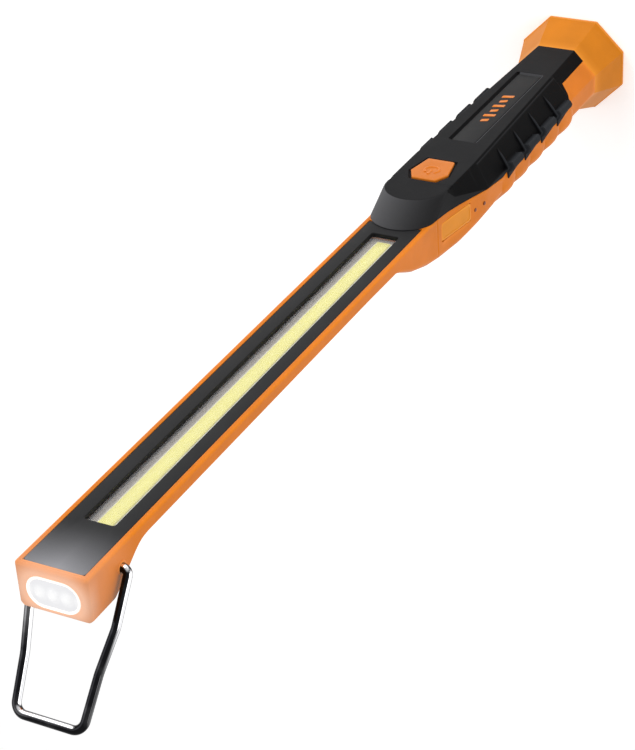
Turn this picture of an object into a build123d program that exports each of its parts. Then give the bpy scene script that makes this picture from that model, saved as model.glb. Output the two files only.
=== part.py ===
from build123d import *
import math
import os

# Slim rechargeable inspection light: a flat lamp arm on a faceted grip, with a wire hook at the
# lamp end and an octagonal magnetic foot. Upright on its foot, +Z runs from foot to lamp end and
# -Y is the side that the light leaves from. All sizes are in millimetres.

# ---- lamp arm and lamp end
total_length = 480.0
arm_width = 29.6
arm_front = -7.8            # plane of the arm's face
arm_thickness = 6.4
head_depth = 18.9           # lamp end, front to back
head_length = 15.5          # full-depth stretch of the lamp end
fairing_from_end = 34.0     # where the slope of the thick end would meet the arm's back
fairing_radius = 16.0
head_heel_radius = 3.0
arm_edge_radius = 1.5
cavity_from_end = 28.0      # where the hollow of the lamp end begins

# ---- grip
grip_front = -16.3
grip_back = 16.3
grip_half_width = 20.5
grip_side_half = 4.6        # half height of the flat side facet
grip_back_half = 10.8
face_half_rear = 10.0       # half width of the top face at the foot
face_half_fore = 14.6       # and at the shoulder
wall = 2.0
grip_start = 24.0           # where the foot's flare meets the grip
grip_swell = 100.0          # from here on the back bulges into the belly
shoulder_start = 158.0      # where the grip starts to narrow towards the arm
shoulder_end = 190.0
shoulder_margin = 0.8       # how far the grip still stands outside the arm at the shoulder's end
belly_depth = 18.4
belly_fall = 206.0
belly_end = 237.0
nose_back = 186.0           # the nose overlaps the grip from here
nose_draft = 0.4            # how much narrower than the arm the nose is at its top
nose_top_side = 188.0
nose_top_tip = 201.5
nose_foot_side = 201.5
nose_foot_tip = 215.0

# ---- parting line between black shell and coloured housing, seen from the side
parting_rear = -11.0
parting_step_start = 53.5
parting_step_end = 61.0
parting_grip = -1.4
parting_fore = 137.0
tooth_depth = 2.4           # how far each tooth of the shell reaches below the parting line
tooth_half = 7.0

# ---- grip skins
skin_start = 56.0
skin_end = 156.0
skin_thickness = 1.2
skin_seam = 0.5             # from the top face's edge to the skin
rib_count = 4
rib_first = 74.0
rib_pitch = 19.0
rib_width = 1.8
rib_height = 1.0
rib_from_edge = 2.6
pad_length = 13.0
pad_height = 1.3
pad_lead = 0.3
rib_root_gap = 0.6

# ---- foot
foot_width = 53.0
foot_depth = 45.6
foot_chamfer = 14.2
rim_height = 2.4
cap_wall = 2.6
cap_floor = 11.0
spigot_length = 5.0
pad_thickness = 1.0
pad_border = 3.0
magnet_diameter = 32.0
magnet_thickness = 6.0
pole_thickness = 1.5
screw_hole = 4.4

# ---- long lamp
slot_width = 12.8
slot_start = 219.5
slot_from_end = 31.0
slot_depth = 3.7
slot_corner = 0.8
panel_margin = 2.25         # coloured rim left round the black face
panel_start = 209.5
panel_thickness = 1.4
opening_lead = 6.0
collar_wall = 0.9
strip_width = 6.5
strip_margin = 1.6
phosphor_thickness = 0.5
reflector_thickness = 0.7
window_thickness = 0.8
board_thickness = 0.9
spreader_thickness = 0.6

# ---- end lamp
lens_width = 20.4
lens_height = 11.4
lens_thickness = 1.6
lens_centre_y = 2.6
gasket_width = 0.8
cup_depth = 6.5
cup_wall = 0.8
torch_board_thickness = 1.2
die_count = 3
die_pitch = 5.4
die_size = 2.2

# ---- hook
wire_diameter = 3.5
hook_pivot_y = 0.6
hook_pivot_from_end = 20.7
hook_rest_angle = 54.5      # from +Z towards +Y
hook_reach = 58.0
hook_leg_half = 17.7
hook_neck_half = 15.2
hook_tip_half = 13.9
hook_leg_straight = 20.5
hook_neck_at = 37.0
hook_tail = 6.0             # wire inside the lamp end, measured from its side
hook_shoulder_radius = 2.4
hook_leg_radius = 14.0
hook_neck_radius = 24.0
hook_tip_radius = 4.5
running_gap = 0.05
bush_wall = 1.1
retainer_radius = 3.2
retainer_thickness = 0.8

# ---- button and electronics
button_rear = 161.0
button_front = 180.8
button_waist = 174.3
button_rear_half = 6.4
button_front_half = 5.6
button_waist_half = 8.9
button_gap = 0.35
pocket_margin = 1.2
pocket_depth = 0.9
button_proud = 0.3
button_travel = 0.8
flange_margin = 1.0
flange_thickness = 1.0
stem_diameter = 4.0
main_board_front = -4.6
main_board_thickness = 1.6
board_side_gap = 1.8        # from the board's edge to the wall, where the housing is narrowest
main_board_start = 118.0
main_board_end = 200.0
switch_size = 6.2
switch_height = 3.5
plunger_diameter = 3.4
plunger_proud = 1.2
plunger_seat = 1.4          # plunger length inside the switch
cell_diameter = 18.4
cell_length = 65.2
cell_start = 40.0
cell_centre_y = 3.4
cradle_wall = 1.4
cradle_gap = 0.2
contact_width = 9.0
contact_thickness = 0.5
wire_size = 1.2
wire_place = 9.8

# ---- charging port
port_start = 172.0
port_end = 195.5
port_y = 0.4
port_height = 8.6
cover_thickness = 1.8
port_gap = 0.3
port_ledge = 1.2
socket_width = 9.0
socket_height = 3.4
socket_depth = 7.0
socket_setback = 1.3        # from the inside of the sloping wall to the socket's mouth
pipe_diameter = 1.8
pipe_places = (160.5, 168.0)

# ---- label, fasteners
label_start = 57.0
label_end = 139.0
label_half = 7.0
label_recess = 0.8
label_thickness = 0.5
label_gap = 0.1
screw_places = ((8.0, 112.4, 16.5), (8.5, 204.2, 14.0))   # x, height, back face
screw_head_diameter = 5.0
screw_head_height = 1.8
screw_shank = 2.4
screw_sink = 3.0            # from the back face to the top of the head
screw_length = 13.0
screw_access = 5.0          # how far a screw's hole runs on past the back face
cross_long = 1.3             # half length and half width of the driver cross
cross_short = 0.3
cross_depth = 0.9
boss_wall = 1.4
fit_gap = 0.05              # static clearance round fasteners and seated pieces

arm_half = arm_width / 2
arm_back = arm_front + arm_thickness
head_back = arm_front + head_depth
head_base = total_length - head_length
fairing_start = total_length - fairing_from_end
cavity_start = total_length - cavity_from_end
slot_end = total_length - slot_from_end
hook_pivot_z = total_length - hook_pivot_from_end
shoulder_half_width = arm_half + shoulder_margin
nose_top_half = arm_half - nose_draft
main_board_half = arm_half - wall - board_side_gap
slot_half = slot_width / 2
slot_floor = arm_front + slot_depth
wire_radius = wire_diameter / 2
rib_heights = [rib_first + index * rib_pitch for index in range(rib_count)]


def both_sides(points):
    """Closed outline from the +X half of it."""
    return points + [(-x, y) for x, y in reversed(points)]


def face_half(z):
    """Half width of the grip's top face at height z."""
    share = (z - grip_start) / (shoulder_end - grip_start)
    return face_half_rear + share * (face_half_fore - face_half_rear)


def grip_outline(z, half_width, side_top, side_low, back):
    """Octagon of the grip at height z."""
    return both_sides([(face_half(z), grip_front), (half_width, side_top), (half_width, side_low),
                       (grip_back_half, back)])


def octagon(width, depth, corner):
    """Octagon with 45 degree corners."""
    return both_sides([(width / 2 - corner, -depth / 2), (width / 2, corner - depth / 2),
                       (width / 2, depth / 2 - corner), (width / 2 - corner, depth / 2)])


def belly_outline(half_width, side_low, back, back_half):
    """Outline of the bulge below the arm's face."""
    return both_sides([(half_width, arm_front), (half_width, side_low), (back_half, back)])


def lofted(stations, inset=0.0):
    """Ruled solid through outlines held by height, each drawn in by inset."""
    with BuildPart() as form:
        for z, points in stations.items():
            with BuildSketch(Plane.XY.offset(z)):
                with BuildLine():
                    Polyline(*points, close=True)
                make_face()
                if inset:
                    offset(amount=-inset, kind=Kind.INTERSECTION)
        loft(ruled=True)
    return form.part


def side_prism(points, half_width=60.0):
    """Solid across X over a side outline of (y, z) points."""
    with BuildPart() as prism:
        with BuildSketch(Plane.YZ):
            with BuildLine():
                Polyline(*points, close=True)
            make_face()
        extrude(amount=half_width, both=True)
    return prism.part


def block(low, high, mode=Mode.ADD):
    """Box between two corners, in the part being built."""
    with Locations(Vector(*[(a + b) / 2 for a, b in zip(low, high)])):
        Box(*[b - a for a, b in zip(low, high)], mode=mode)


def bar(start, direction, radius, length, mode=Mode.ADD):
    """Round bar from a start point, in the part being built."""
    with Locations(Plane(origin=start, z_dir=direction).location):
        Cylinder(radius, length, align=(Align.CENTER, Align.CENTER, Align.MIN), mode=mode)


def save(piece, name):
    piece.label = name
    export_step(piece, "parts/" + name + ".step")


os.makedirs("parts", exist_ok=True)

# ---- forms shared by several pieces
grip_stations = {
    grip_start: grip_outline(grip_start, grip_half_width, -grip_side_half, grip_side_half, grip_back),
    grip_swell: grip_outline(grip_swell, grip_half_width, -grip_side_half, grip_side_half, grip_back),
    shoulder_start: grip_outline(shoulder_start, grip_half_width, -grip_side_half, grip_side_half + 2,
                                 belly_depth),
    shoulder_end: grip_outline(shoulder_end, shoulder_half_width, -10.5, 10.0, belly_depth),
}
belly_stations = {
    shoulder_end: belly_outline(shoulder_half_width, 10.0, belly_depth, grip_back_half),
    belly_fall: belly_outline(arm_half, 7.4, 13.6, grip_back_half),
    (belly_fall + belly_end) / 2: belly_outline(arm_half, 3.6, 7.0, 12.0),
    belly_end: belly_outline(arm_half, arm_back - 0.9, arm_back - 0.1, arm_half - 1.0),
}
grip_form = lofted(grip_stations)
grip_hollow = lofted(grip_stations, wall)
belly_form = lofted(belly_stations)
belly_hollow = lofted({z: points for z, points in belly_stations.items() if z < belly_end}, wall)

# The parting line runs back from the nose along the arm's face, falls towards the grip, keeps
# level along the skins with one tooth at each rib, and steps up before the foot.
parting_line = [(arm_front, nose_foot_tip + 1), (arm_front, nose_foot_side),
                (parting_grip, parting_fore)]
for rib_z in reversed(rib_heights):
    parting_line += [(parting_grip, rib_z + tooth_half), (parting_grip + tooth_depth, rib_z),
                     (parting_grip, rib_z - tooth_half)]
parting_line += [(parting_grip, parting_step_end), (parting_rear, parting_step_start),
                 (parting_rear, grip_start - 1)]
black_side = side_prism(parting_line + [(-40, grip_start - 1), (-40, nose_foot_tip + 1)])
housing_side = side_prism(parting_line + [(40, grip_start - 1), (40, nose_foot_tip + 1)])


def nose_solid(inset):
    """Rounded nose of the black shell: arcs at the top face and at the arm's face, ruled between."""
    with BuildPart() as nose:
        levels = ((grip_front + inset, nose_top_half, nose_top_side, nose_top_tip),
                  (arm_front, arm_half, nose_foot_side, nose_foot_tip))
        for level, half, side_z, tip_z in levels:
            with BuildSketch(Plane.XZ.offset(-level)):
                with BuildLine():
                    Line((-half + inset, nose_back), (half - inset, nose_back))
                    Line((half - inset, nose_back), (half - inset, side_z))
                    ThreePointArc((half - inset, side_z), (0, tip_z - inset), (-half + inset, side_z))
                    Line((-half + inset, side_z), (-half + inset, nose_back))
                make_face()
        loft(ruled=True)
    return nose.part


nose_form = nose_solid(0.0)
nose_hollow = nose_solid(wall)


def hexagon(margin, start, depth):
    """Prism of the button's outline, grown by margin, going in from y = start."""
    half_outline = [(button_rear_half, button_rear), (button_waist_half, button_waist),
                    (button_front_half, button_front)]
    with BuildPart() as prism:
        with BuildSketch(Plane.XZ.offset(-start)):
            with BuildLine():
                Polyline(*both_sides(half_outline), close=True)
            make_face()
            if margin:
                offset(amount=margin, kind=Kind.INTERSECTION)
        extrude(amount=-depth)
    return prism.part


def stadium(width, height, start, length):
    """Round-ended prism about the end lamp's axis, going from z = start."""
    with BuildPart() as prism:
        with BuildSketch(Plane.XY.offset(start)):
            with Locations((0, lens_centre_y)):
                SlotOverall(width, height)
        extrude(amount=length)
    return prism.part


# ---- lamp arm, lamp end and belly: the outer form of the coloured housing
with BuildPart() as arm_form:
    with BuildSketch(Plane.YZ):
        with BuildLine():
            Polyline((arm_front, nose_back), (arm_front, total_length), (head_back, total_length),
                     (head_back, head_base), (arm_back, fairing_start), (arm_back, nose_back), close=True)
        make_face()
        fillet(vertices().sort_by_distance((head_back, head_base))[0], head_heel_radius)
        fillet(vertices().sort_by_distance((arm_back, fairing_start))[0], fairing_radius)
    extrude(amount=arm_half, both=True)
    fillet(faces().filter_by(Axis.X).edges(), arm_edge_radius)

# ---- openings that the housing and its fittings share
well_half = slot_half + collar_wall
window_front = slot_floor - reflector_thickness - window_thickness
spreader_front = slot_floor + board_thickness
spreader_back = spreader_front + spreader_thickness
head_cavity_half = arm_half - wall
lens_front = total_length - lens_thickness
cup_front = lens_front - 0.2
cup_back = cup_front - cup_depth
side_slope = (grip_half_width - shoulder_half_width) / (shoulder_end - shoulder_start)
port_middle = (port_start + port_end) / 2
port_length = port_end - port_start
port_side = grip_half_width - side_slope * (port_middle - shoulder_start)
port_plane = Plane(origin=(-port_side, port_y, port_middle), x_dir=(0, 1, 0),
                   z_dir=(-1, 0, side_slope))
bush_radius = wire_radius + running_gap + bush_wall
bush_length = wall + 1.0
main_board_back = main_board_front + main_board_thickness
button_middle = (button_rear + button_front) / 2
lens_form = stadium(lens_width, lens_height, lens_front, lens_thickness)
gasket_form = stadium(lens_width + 2 * gasket_width, lens_height + 2 * gasket_width, lens_front, lens_thickness)
lamp_aperture = stadium(lens_width + 2 * gasket_width, lens_height + 2 * gasket_width,
                        total_length - wall - 1, wall + 2)


slope = Vector(head_back - arm_back, head_base - fairing_start).normalized()
slope_start = Vector(arm_back, fairing_start) + Vector(-slope.Y, slope.X) * wall


def inner_slope(z):
    """Inside of the lamp end's sloping back, at height z."""
    return slope_start.X + (z - slope_start.Y) * slope.X / slope.Y


cavity_back = head_back - wall
cavity_knee = slope_start.Y + (cavity_back - slope_start.X) * slope.Y / slope.X
cavity_front = arm_front + panel_thickness
head_cavity = side_prism([(cavity_front, cavity_start), (inner_slope(cavity_start), cavity_start),
                          (cavity_back, cavity_knee), (cavity_back, total_length - wall),
                          (cavity_front, total_length - wall)], head_cavity_half)


def side_x(z):
    """Half width of the housing at the shoulder, at height z."""
    return grip_half_width - side_slope * (z - shoulder_start)


def boss_seam(back):
    """Where the shell's boss meets the housing's, for a screw that starts at this back face."""
    return back - screw_sink - screw_head_height - wall


def screw_stack(gap, mode):
    """The shell's screws, or with a gap the holes for them, in the part being built."""
    for x, z, back in screw_places:
        for side in (-1, 1):
            head_y = back - screw_sink
            sunk = screw_sink + screw_access if gap else 0
            bar((side * x, head_y + sunk, z), (0, -1, 0), screw_head_diameter / 2 + gap,
                screw_head_height + sunk, mode)
            bar((side * x, head_y, z), (0, -1, 0), screw_shank / 2 + gap, screw_length + gap, mode)


# ---- rubber skins on the side facets, each with four ribs that end in a pad
grip_core = lofted(grip_stations, skin_thickness)


def skin_wedge(side):
    """Everything beside the top face's edge along the skins."""
    stations = {}
    for z in (skin_start, skin_end):
        edge = face_half(z) + skin_seam
        stations[z] = [(side * edge, grip_front - 3), (side * 40, grip_front - 3), (side * 40, 20),
                       (side * edge, 20)]
    return lofted(stations)


def skin_layer(side):
    """The skin without its ribs: the outer layer of the grip's black side."""
    wedge = skin_wedge(side)
    with BuildPart() as layer:
        add(grip_form)
        add(wedge, mode=Mode.INTERSECT)
        add(black_side, mode=Mode.INTERSECT)
        add(grip_core, mode=Mode.SUBTRACT)
    return layer.part


def rib_outline(side, z):
    """Outline of one rib at height z: across the facet, then down the side to the tooth."""
    run = (grip_half_width - face_half(z), -grip_side_half - grip_front)
    length = math.hypot(*run)
    along = (run[0] / length, run[1] / length)
    outward = (along[1], -along[0])
    start = (face_half(z) + along[0] * rib_from_edge, grip_front + along[1] * rib_from_edge)
    root = skin_thickness / 2
    low = parting_grip + tooth_depth - rib_root_gap
    half = [
        (start[0] - outward[0] * root, start[1] - outward[1] * root),
        start,
        (start[0] + (outward[0] + along[0]) * rib_height, start[1] + (outward[1] + along[1]) * rib_height),
        (grip_half_width + pad_height, -grip_side_half),
        (grip_half_width + pad_height, low - pad_height),
        (grip_half_width, low),
        (grip_half_width - root, low),
        (grip_half_width - root, -grip_side_half),
    ]
    return [(side * x, y) for x, y in half]


def pad_outline(side, z):
    """Outline of one pad from the front: highest at the rib, running out both ways."""
    reach = grip_half_width + pad_height
    root = grip_half_width - skin_thickness / 2
    half = [(root, -pad_length / 2), (grip_half_width, -pad_length / 2), (reach, -rib_width),
            (reach, rib_width), (grip_half_width, pad_length / 2), (root, pad_length / 2)]
    return [(side * x, z + dz) for x, dz in half]


def grip_skin(side):
    layer = skin_layer(side)
    with BuildPart() as skin:
        add(layer)
        for rib_z in rib_heights:
            with BuildSketch(Plane.XY.offset(rib_z)):
                with BuildLine():
                    Polyline(*rib_outline(side, rib_z), close=True)
                make_face()
            extrude(amount=rib_width / 2, both=True)
            with BuildSketch(Plane.XZ.offset(grip_side_half - pad_lead)):
                with BuildLine():
                    Polyline(*pad_outline(side, rib_z), close=True)
                make_face()
            extrude(amount=pad_lead - grip_side_half - parting_grip - tooth_depth)
        add(black_side, mode=Mode.INTERSECT)
    return skin.part


with BuildPart() as lower_housing:
    add(grip_form)
    add(housing_side, mode=Mode.INTERSECT)
    add(belly_form)
    add(grip_hollow, mode=Mode.SUBTRACT)
    add(belly_hollow, mode=Mode.SUBTRACT)
    add(arm_form.part)
    add(black_side, mode=Mode.SUBTRACT)
    # opening between the shell's nose and the belly
    block((-arm_half + wall, arm_front - 1, nose_back - 1),
          (arm_half - wall, arm_back + wall, panel_start + opening_lead), Mode.SUBTRACT)
    # seat of the black face, and the well of the long lamp
    block((-arm_half + panel_margin, arm_front - 1, panel_start - 1),
          (arm_half - panel_margin, arm_front + panel_thickness, total_length - panel_margin), Mode.SUBTRACT)
    block((-well_half, arm_front, slot_start - collar_wall), (well_half, spreader_back, slot_end + collar_wall),
          Mode.SUBTRACT)
    for side in (-1, 1):
        channel = sorted((side * (wire_place - wire_size), side * (wire_place + wire_size)))
        block((channel[0], arm_front, panel_start), (channel[1], arm_front + panel_thickness + 2 * wire_size,
              head_base + 2), Mode.SUBTRACT)
    # cavity of the lamp end, closed at the back by the wall
    add(head_cavity, mode=Mode.SUBTRACT)
    add(lamp_aperture, mode=Mode.SUBTRACT)
    bar((-arm_half - 1, hook_pivot_y, hook_pivot_z), (1, 0, 0), bush_radius, arm_width + 2, Mode.SUBTRACT)
    # charging port: seat of its cover, mouth of the socket, light pipes
    with Locations(port_plane.location):
        Box(port_height + 2 * port_gap, port_length + 2 * port_gap, 2 * cover_thickness, mode=Mode.SUBTRACT)
        Box(port_height - 2 * port_ledge, port_length - 2 * port_ledge - 4, 8 * wall, mode=Mode.SUBTRACT)
    for pipe_z in pipe_places:
        bar((-side_x(pipe_z) - 1, port_y + 1, pipe_z), (1, 0, 0), pipe_diameter / 2 + fit_gap, 2 * wall + 1,
            Mode.SUBTRACT)
    # bosses and sunk holes for the shell's screws
    for x, z, back in screw_places:
        for side in (-1, 1):
            bar((side * x, boss_seam(back), z), (0, 1, 0), screw_head_diameter / 2 + boss_wall,
                back - boss_seam(back) - wall / 2)
    screw_stack(fit_gap, Mode.SUBTRACT)


# ---- black shell of the grip: top face, nose, bosses for the screws
skin_layers = [skin_layer(side) for side in (-1, 1)]
button_hole = hexagon(button_gap, grip_front - 1, 1 + 2 * wall)
button_pocket = hexagon(pocket_margin, grip_front - 1, 1 + pocket_depth)

boss_room = lofted(grip_stations, skin_thickness + fit_gap)
with BuildPart() as boss_core:
    add(boss_room)
    add(nose_form)

with BuildPart() as shell_bosses:
    for x, z, back in screw_places:
        for side in (-1, 1):
            bar((side * x, boss_seam(back), z), (0, -1, 0), screw_shank / 2 + boss_wall,
                boss_seam(back) - grip_front)
    add(boss_core.part, mode=Mode.INTERSECT)

with BuildPart() as handle_shell:
    add(grip_form)
    add(nose_form)
    add(black_side, mode=Mode.INTERSECT)
    add(grip_hollow, mode=Mode.SUBTRACT)
    add(nose_hollow, mode=Mode.SUBTRACT)
    add(skin_layers, mode=Mode.SUBTRACT)
    add(button_pocket, mode=Mode.SUBTRACT)
    add(button_hole, mode=Mode.SUBTRACT)
    block((-label_half, grip_front - 1, label_start), (label_half, grip_front + label_recess, label_end),
          Mode.SUBTRACT)
    add(shell_bosses.part)
    screw_stack(fit_gap, Mode.SUBTRACT)

# ---- screws from the back of the housing into the shell
with BuildPart() as shell_screws:
    screw_stack(0, Mode.ADD)
    for x, z, back in screw_places:
        top = back - screw_sink
        for side in (-1, 1):
            for half_x, half_z in ((cross_long, cross_short), (cross_short, cross_long)):
                block((side * x - half_x, top - cross_depth, z - half_z),
                      (side * x + half_x, top, z + half_z), Mode.SUBTRACT)

# ---- label panel, let into the top face
with BuildPart() as label_plate:
    block((-label_half + label_gap, grip_front + label_recess - label_thickness, label_start + label_gap),
          (label_half - label_gap, grip_front + label_recess, label_end - label_gap))

# ---- power button with its flange and stem, the switch below it and the main board
flange_front = grip_front + wall + 0.1
plunger_tip = main_board_front - switch_height - plunger_proud
button_cap = hexagon(0, grip_front - button_proud, wall + button_proud + 0.1)
button_flange = hexagon(flange_margin, flange_front, flange_thickness)
with BuildPart() as power_button:
    add(button_cap)
    fillet(faces().sort_by(Axis.Y)[0].edges(), 0.4)
    add(button_flange)
    bar((0, flange_front, button_middle), (0, 1, 0), stem_diameter / 2, plunger_tip - flange_front)

with BuildPart() as switch_plunger:
    bar((0, plunger_tip, button_middle), (0, 1, 0), plunger_diameter / 2, plunger_proud + plunger_seat)

with BuildPart() as tact_switch:
    block((-switch_size / 2, main_board_front - switch_height, button_middle - switch_size / 2),
          (switch_size / 2, main_board_front, button_middle + switch_size / 2))
    bar((0, main_board_front - switch_height - 1, button_middle), (0, 1, 0),
        plunger_diameter / 2 + running_gap, 1 + plunger_seat + button_travel + 0.2, Mode.SUBTRACT)

with BuildPart() as main_board:
    block((-main_board_half, main_board_front, main_board_start),
          (main_board_half, main_board_back, main_board_end))

with BuildPart() as board_components:
    for low, size in (((-6, 126), (5, 1.6, 5)), ((3, 128), (4, 2.8, 4)), ((-4, 140), (7, 1.2, 6)),
                      ((5, 142), (3, 1, 2)), ((-9, 150), (3.2, 1.8, 1.6)), ((4, 152), (5, 2.2, 5))):
        block((low[0], main_board_back, low[1]),
              (low[0] + size[0], main_board_back + size[1], low[1] + size[2]))

# ---- charging socket on the board, its hinged cover and the two light pipes
socket_mouth = -port_side + wall + side_slope * socket_width / 2 + socket_setback
with BuildPart() as charging_socket:
    block((socket_mouth, main_board_back, port_middle - socket_width / 2),
          (socket_mouth + socket_depth, main_board_back + socket_height, port_middle + socket_width / 2))
    block((socket_mouth - 1, main_board_back + 0.4, port_middle - socket_width / 2 + 0.4),
          (socket_mouth + socket_depth - 1.5, main_board_back + socket_height - 0.4,
           port_middle + socket_width / 2 - 0.4), Mode.SUBTRACT)
    block((socket_mouth + 0.6, main_board_back + socket_height / 2 - 0.35, port_middle - 3.2),
          (socket_mouth + socket_depth - 1, main_board_back + socket_height / 2 + 0.35, port_middle + 3.2))

with BuildPart() as port_cover:
    with BuildSketch(port_plane):
        RectangleRounded(port_height, port_length, 1.0)
    extrude(amount=-cover_thickness + 0.1)

with BuildPart() as indicator_pipes:
    for pipe_z in pipe_places:
        bar((-side_x(pipe_z) + 0.1, port_y + 1, pipe_z), (1, 0, 0), pipe_diameter / 2, wall + 1.5)

# ---- battery cell, its cradle and the contact tabs
with BuildPart() as battery_cell:
    bar((0, cell_centre_y, cell_start), (0, 0, 1), cell_diameter / 2, cell_length)
    fillet(edges().filter_by(GeomType.CIRCLE), 0.8)

with BuildPart() as cell_cradle:
    cradle_half = cell_diameter / 2 + cradle_gap + cradle_wall
    block((-cradle_half, cell_centre_y, cell_start - 3),
          (cradle_half, grip_back - wall - 0.2, cell_start + cell_length + 3))
    bar((0, cell_centre_y, cell_start - contact_thickness - 0.4), (0, 0, 1), cell_diameter / 2 + cradle_gap,
        cell_length + 2 * contact_thickness + 0.8, Mode.SUBTRACT)
    chamfer(edges().filter_by(Axis.Z).group_by(Axis.Y)[-1], 2.2)

with BuildPart() as cell_contacts:
    for z in (cell_start - contact_thickness, cell_start + cell_length):
        block((-contact_width / 2, cell_centre_y - 6, z), (contact_width / 2, cell_centre_y + 5, z + contact_thickness))

# ---- foot: flared cap, pole plate, magnet, centre screw and rubber pad
cap_stations = {0.0: octagon(foot_width, foot_depth, foot_chamfer),
                rim_height: octagon(foot_width, foot_depth, foot_chamfer),
                grip_start: grip_stations[grip_start]}
cap_form = lofted(cap_stations)
cap_inner = lofted({z: cap_stations[z] for z in (rim_height, grip_start)}, cap_wall)
spigot_outer = lofted({grip_start: grip_stations[grip_start],
                       grip_start + spigot_length: grip_stations[grip_start]}, wall + 0.1)
spigot_inner = lofted({grip_start - 4: grip_stations[grip_start],
                       grip_start + spigot_length + 1: grip_stations[grip_start]}, 2 * wall)
with BuildPart() as cap_hollow:
    add(cap_inner)
    block((-30, -30, 0), (30, 30, cap_floor), Mode.SUBTRACT)

magnet_top = pad_thickness + magnet_thickness
pole_top = magnet_top + pole_thickness
with BuildPart() as foot_cap:
    add(cap_form)
    add(cap_hollow.part, mode=Mode.SUBTRACT)
    add(spigot_outer)
    add(spigot_inner, mode=Mode.SUBTRACT)
    with BuildSketch():
        with BuildLine():
            Polyline(*octagon(foot_width - 2 * pad_border, foot_depth - 2 * pad_border,
                              foot_chamfer - pad_border), close=True)
        make_face()
    extrude(amount=pad_thickness, mode=Mode.SUBTRACT)
    bar((0, 0, 0), (0, 0, 1), magnet_diameter / 2 + fit_gap, pole_top, Mode.SUBTRACT)
    bar((0, 0, 0), (0, 0, 1), screw_shank / 2 + fit_gap, cap_floor + 1, Mode.SUBTRACT)

with BuildPart() as foot_pad:
    with BuildSketch():
        with BuildLine():
            Polyline(*octagon(foot_width - 2 * pad_border - 0.2, foot_depth - 2 * pad_border - 0.2,
                              foot_chamfer - pad_border), close=True)
        make_face()
    extrude(amount=pad_thickness)

with BuildPart() as foot_magnet:
    bar((0, 0, pad_thickness), (0, 0, 1), magnet_diameter / 2, magnet_thickness)
    bar((0, 0, pad_thickness), (0, 0, 1), screw_hole / 2, magnet_thickness, Mode.SUBTRACT)

with BuildPart() as pole_plate:
    bar((0, 0, magnet_top), (0, 0, 1), magnet_diameter / 2, pole_thickness)
    bar((0, 0, magnet_top), (0, 0, 1), screw_shank / 2 + fit_gap, pole_thickness, Mode.SUBTRACT)

with BuildPart() as magnet_screw:
    bar((0, 0, magnet_top - 1.8), (0, 0, 1), screw_hole / 2 - 0.1, 1.8)
    bar((0, 0, magnet_top), (0, 0, 1), screw_shank / 2, cap_floor - magnet_top)

# ---- long lamp: black face with its slot, window, reflector frame, light strip, board, spreader
with BuildPart() as arm_panel:
    block((-arm_half + panel_margin + fit_gap, arm_front, panel_start + 0.2),
          (arm_half - panel_margin - fit_gap, arm_front + panel_thickness, total_length - panel_margin - fit_gap))
    block((-well_half + fit_gap, arm_front, slot_start - collar_wall + fit_gap),
          (well_half - fit_gap, window_front, slot_end + collar_wall - fit_gap))
    with BuildSketch(Plane.XZ.offset(-arm_front + 1)):
        with Locations((0, (slot_start + slot_end) / 2)):
            RectangleRounded(slot_width, slot_end - slot_start, slot_corner)
    extrude(amount=-10, mode=Mode.SUBTRACT)

well_low = (-well_half + fit_gap, slot_start - collar_wall + fit_gap)
well_high = (well_half - fit_gap, slot_end + collar_wall - fit_gap)


def well_layer(front, back, mode=Mode.ADD):
    """Plate that fills the lamp's well between two depths, in the part being built."""
    block((well_low[0], front, well_low[1]), (well_high[0], back, well_high[1]), mode)


with BuildPart() as lamp_window:
    well_layer(window_front, window_front + window_thickness)

with BuildPart() as strip_reflector:
    well_layer(slot_floor - reflector_thickness, slot_floor)
    block((-strip_width / 2, slot_floor - 1, slot_start + strip_margin),
          (strip_width / 2, slot_floor, slot_end - strip_margin), Mode.SUBTRACT)

with BuildPart() as phosphor_strip:
    block((-strip_width / 2 + fit_gap, slot_floor - phosphor_thickness, slot_start + strip_margin + fit_gap),
          (strip_width / 2 - fit_gap, slot_floor, slot_end - strip_margin - fit_gap))

with BuildPart() as strip_board:
    well_layer(slot_floor, spreader_front)

with BuildPart() as heat_spreader:
    well_layer(spreader_front, spreader_back)

# ---- end lamp: lens, gasket, cup, board, light dies
with BuildPart() as end_lens:
    add(lens_form)

with BuildPart() as lens_gasket:
    add(gasket_form)
    add(lens_form, mode=Mode.SUBTRACT)

with BuildPart() as torch_reflector:
    with BuildSketch(Plane.XY.offset(cup_front)):
        with Locations((0, lens_centre_y)):
            SlotOverall(lens_width, lens_height)
    with BuildSketch(Plane.XY.offset(cup_back)):
        with Locations((0, lens_centre_y)):
            SlotOverall(lens_width - 4, lens_height - 4)
    loft(ruled=True)
    with BuildSketch(Plane.XY.offset(cup_front)):
        with Locations((0, lens_centre_y)):
            SlotOverall(lens_width - 2 * cup_wall, lens_height - 2 * cup_wall)
    with BuildSketch(Plane.XY.offset(cup_back)):
        with Locations((0, lens_centre_y)):
            SlotOverall(lens_width - 4 - 2 * cup_wall, lens_height - 4 - 2 * cup_wall)
    loft(ruled=True, mode=Mode.SUBTRACT)

with BuildPart() as torch_board:
    block((-lens_width / 2, lens_centre_y - lens_height / 2, cup_back - torch_board_thickness),
          (lens_width / 2, lens_centre_y + lens_height / 2, cup_back))

with BuildPart() as torch_dies:
    for index in range(die_count):
        x = (index - (die_count - 1) / 2) * die_pitch
        block((x - die_size / 2, lens_centre_y - die_size / 2, cup_back),
              (x + die_size / 2, lens_centre_y + die_size / 2, cup_back + 0.7))

# ---- wires from the main board along the arm to the end lamp
with BuildPart() as torch_wires:
    for side in (-1, 1):
        bar((side * wire_place, arm_front + panel_thickness + wire_size, panel_start + 1), (0, 0, 1), wire_size / 2,
            head_base - panel_start - 5)

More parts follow.
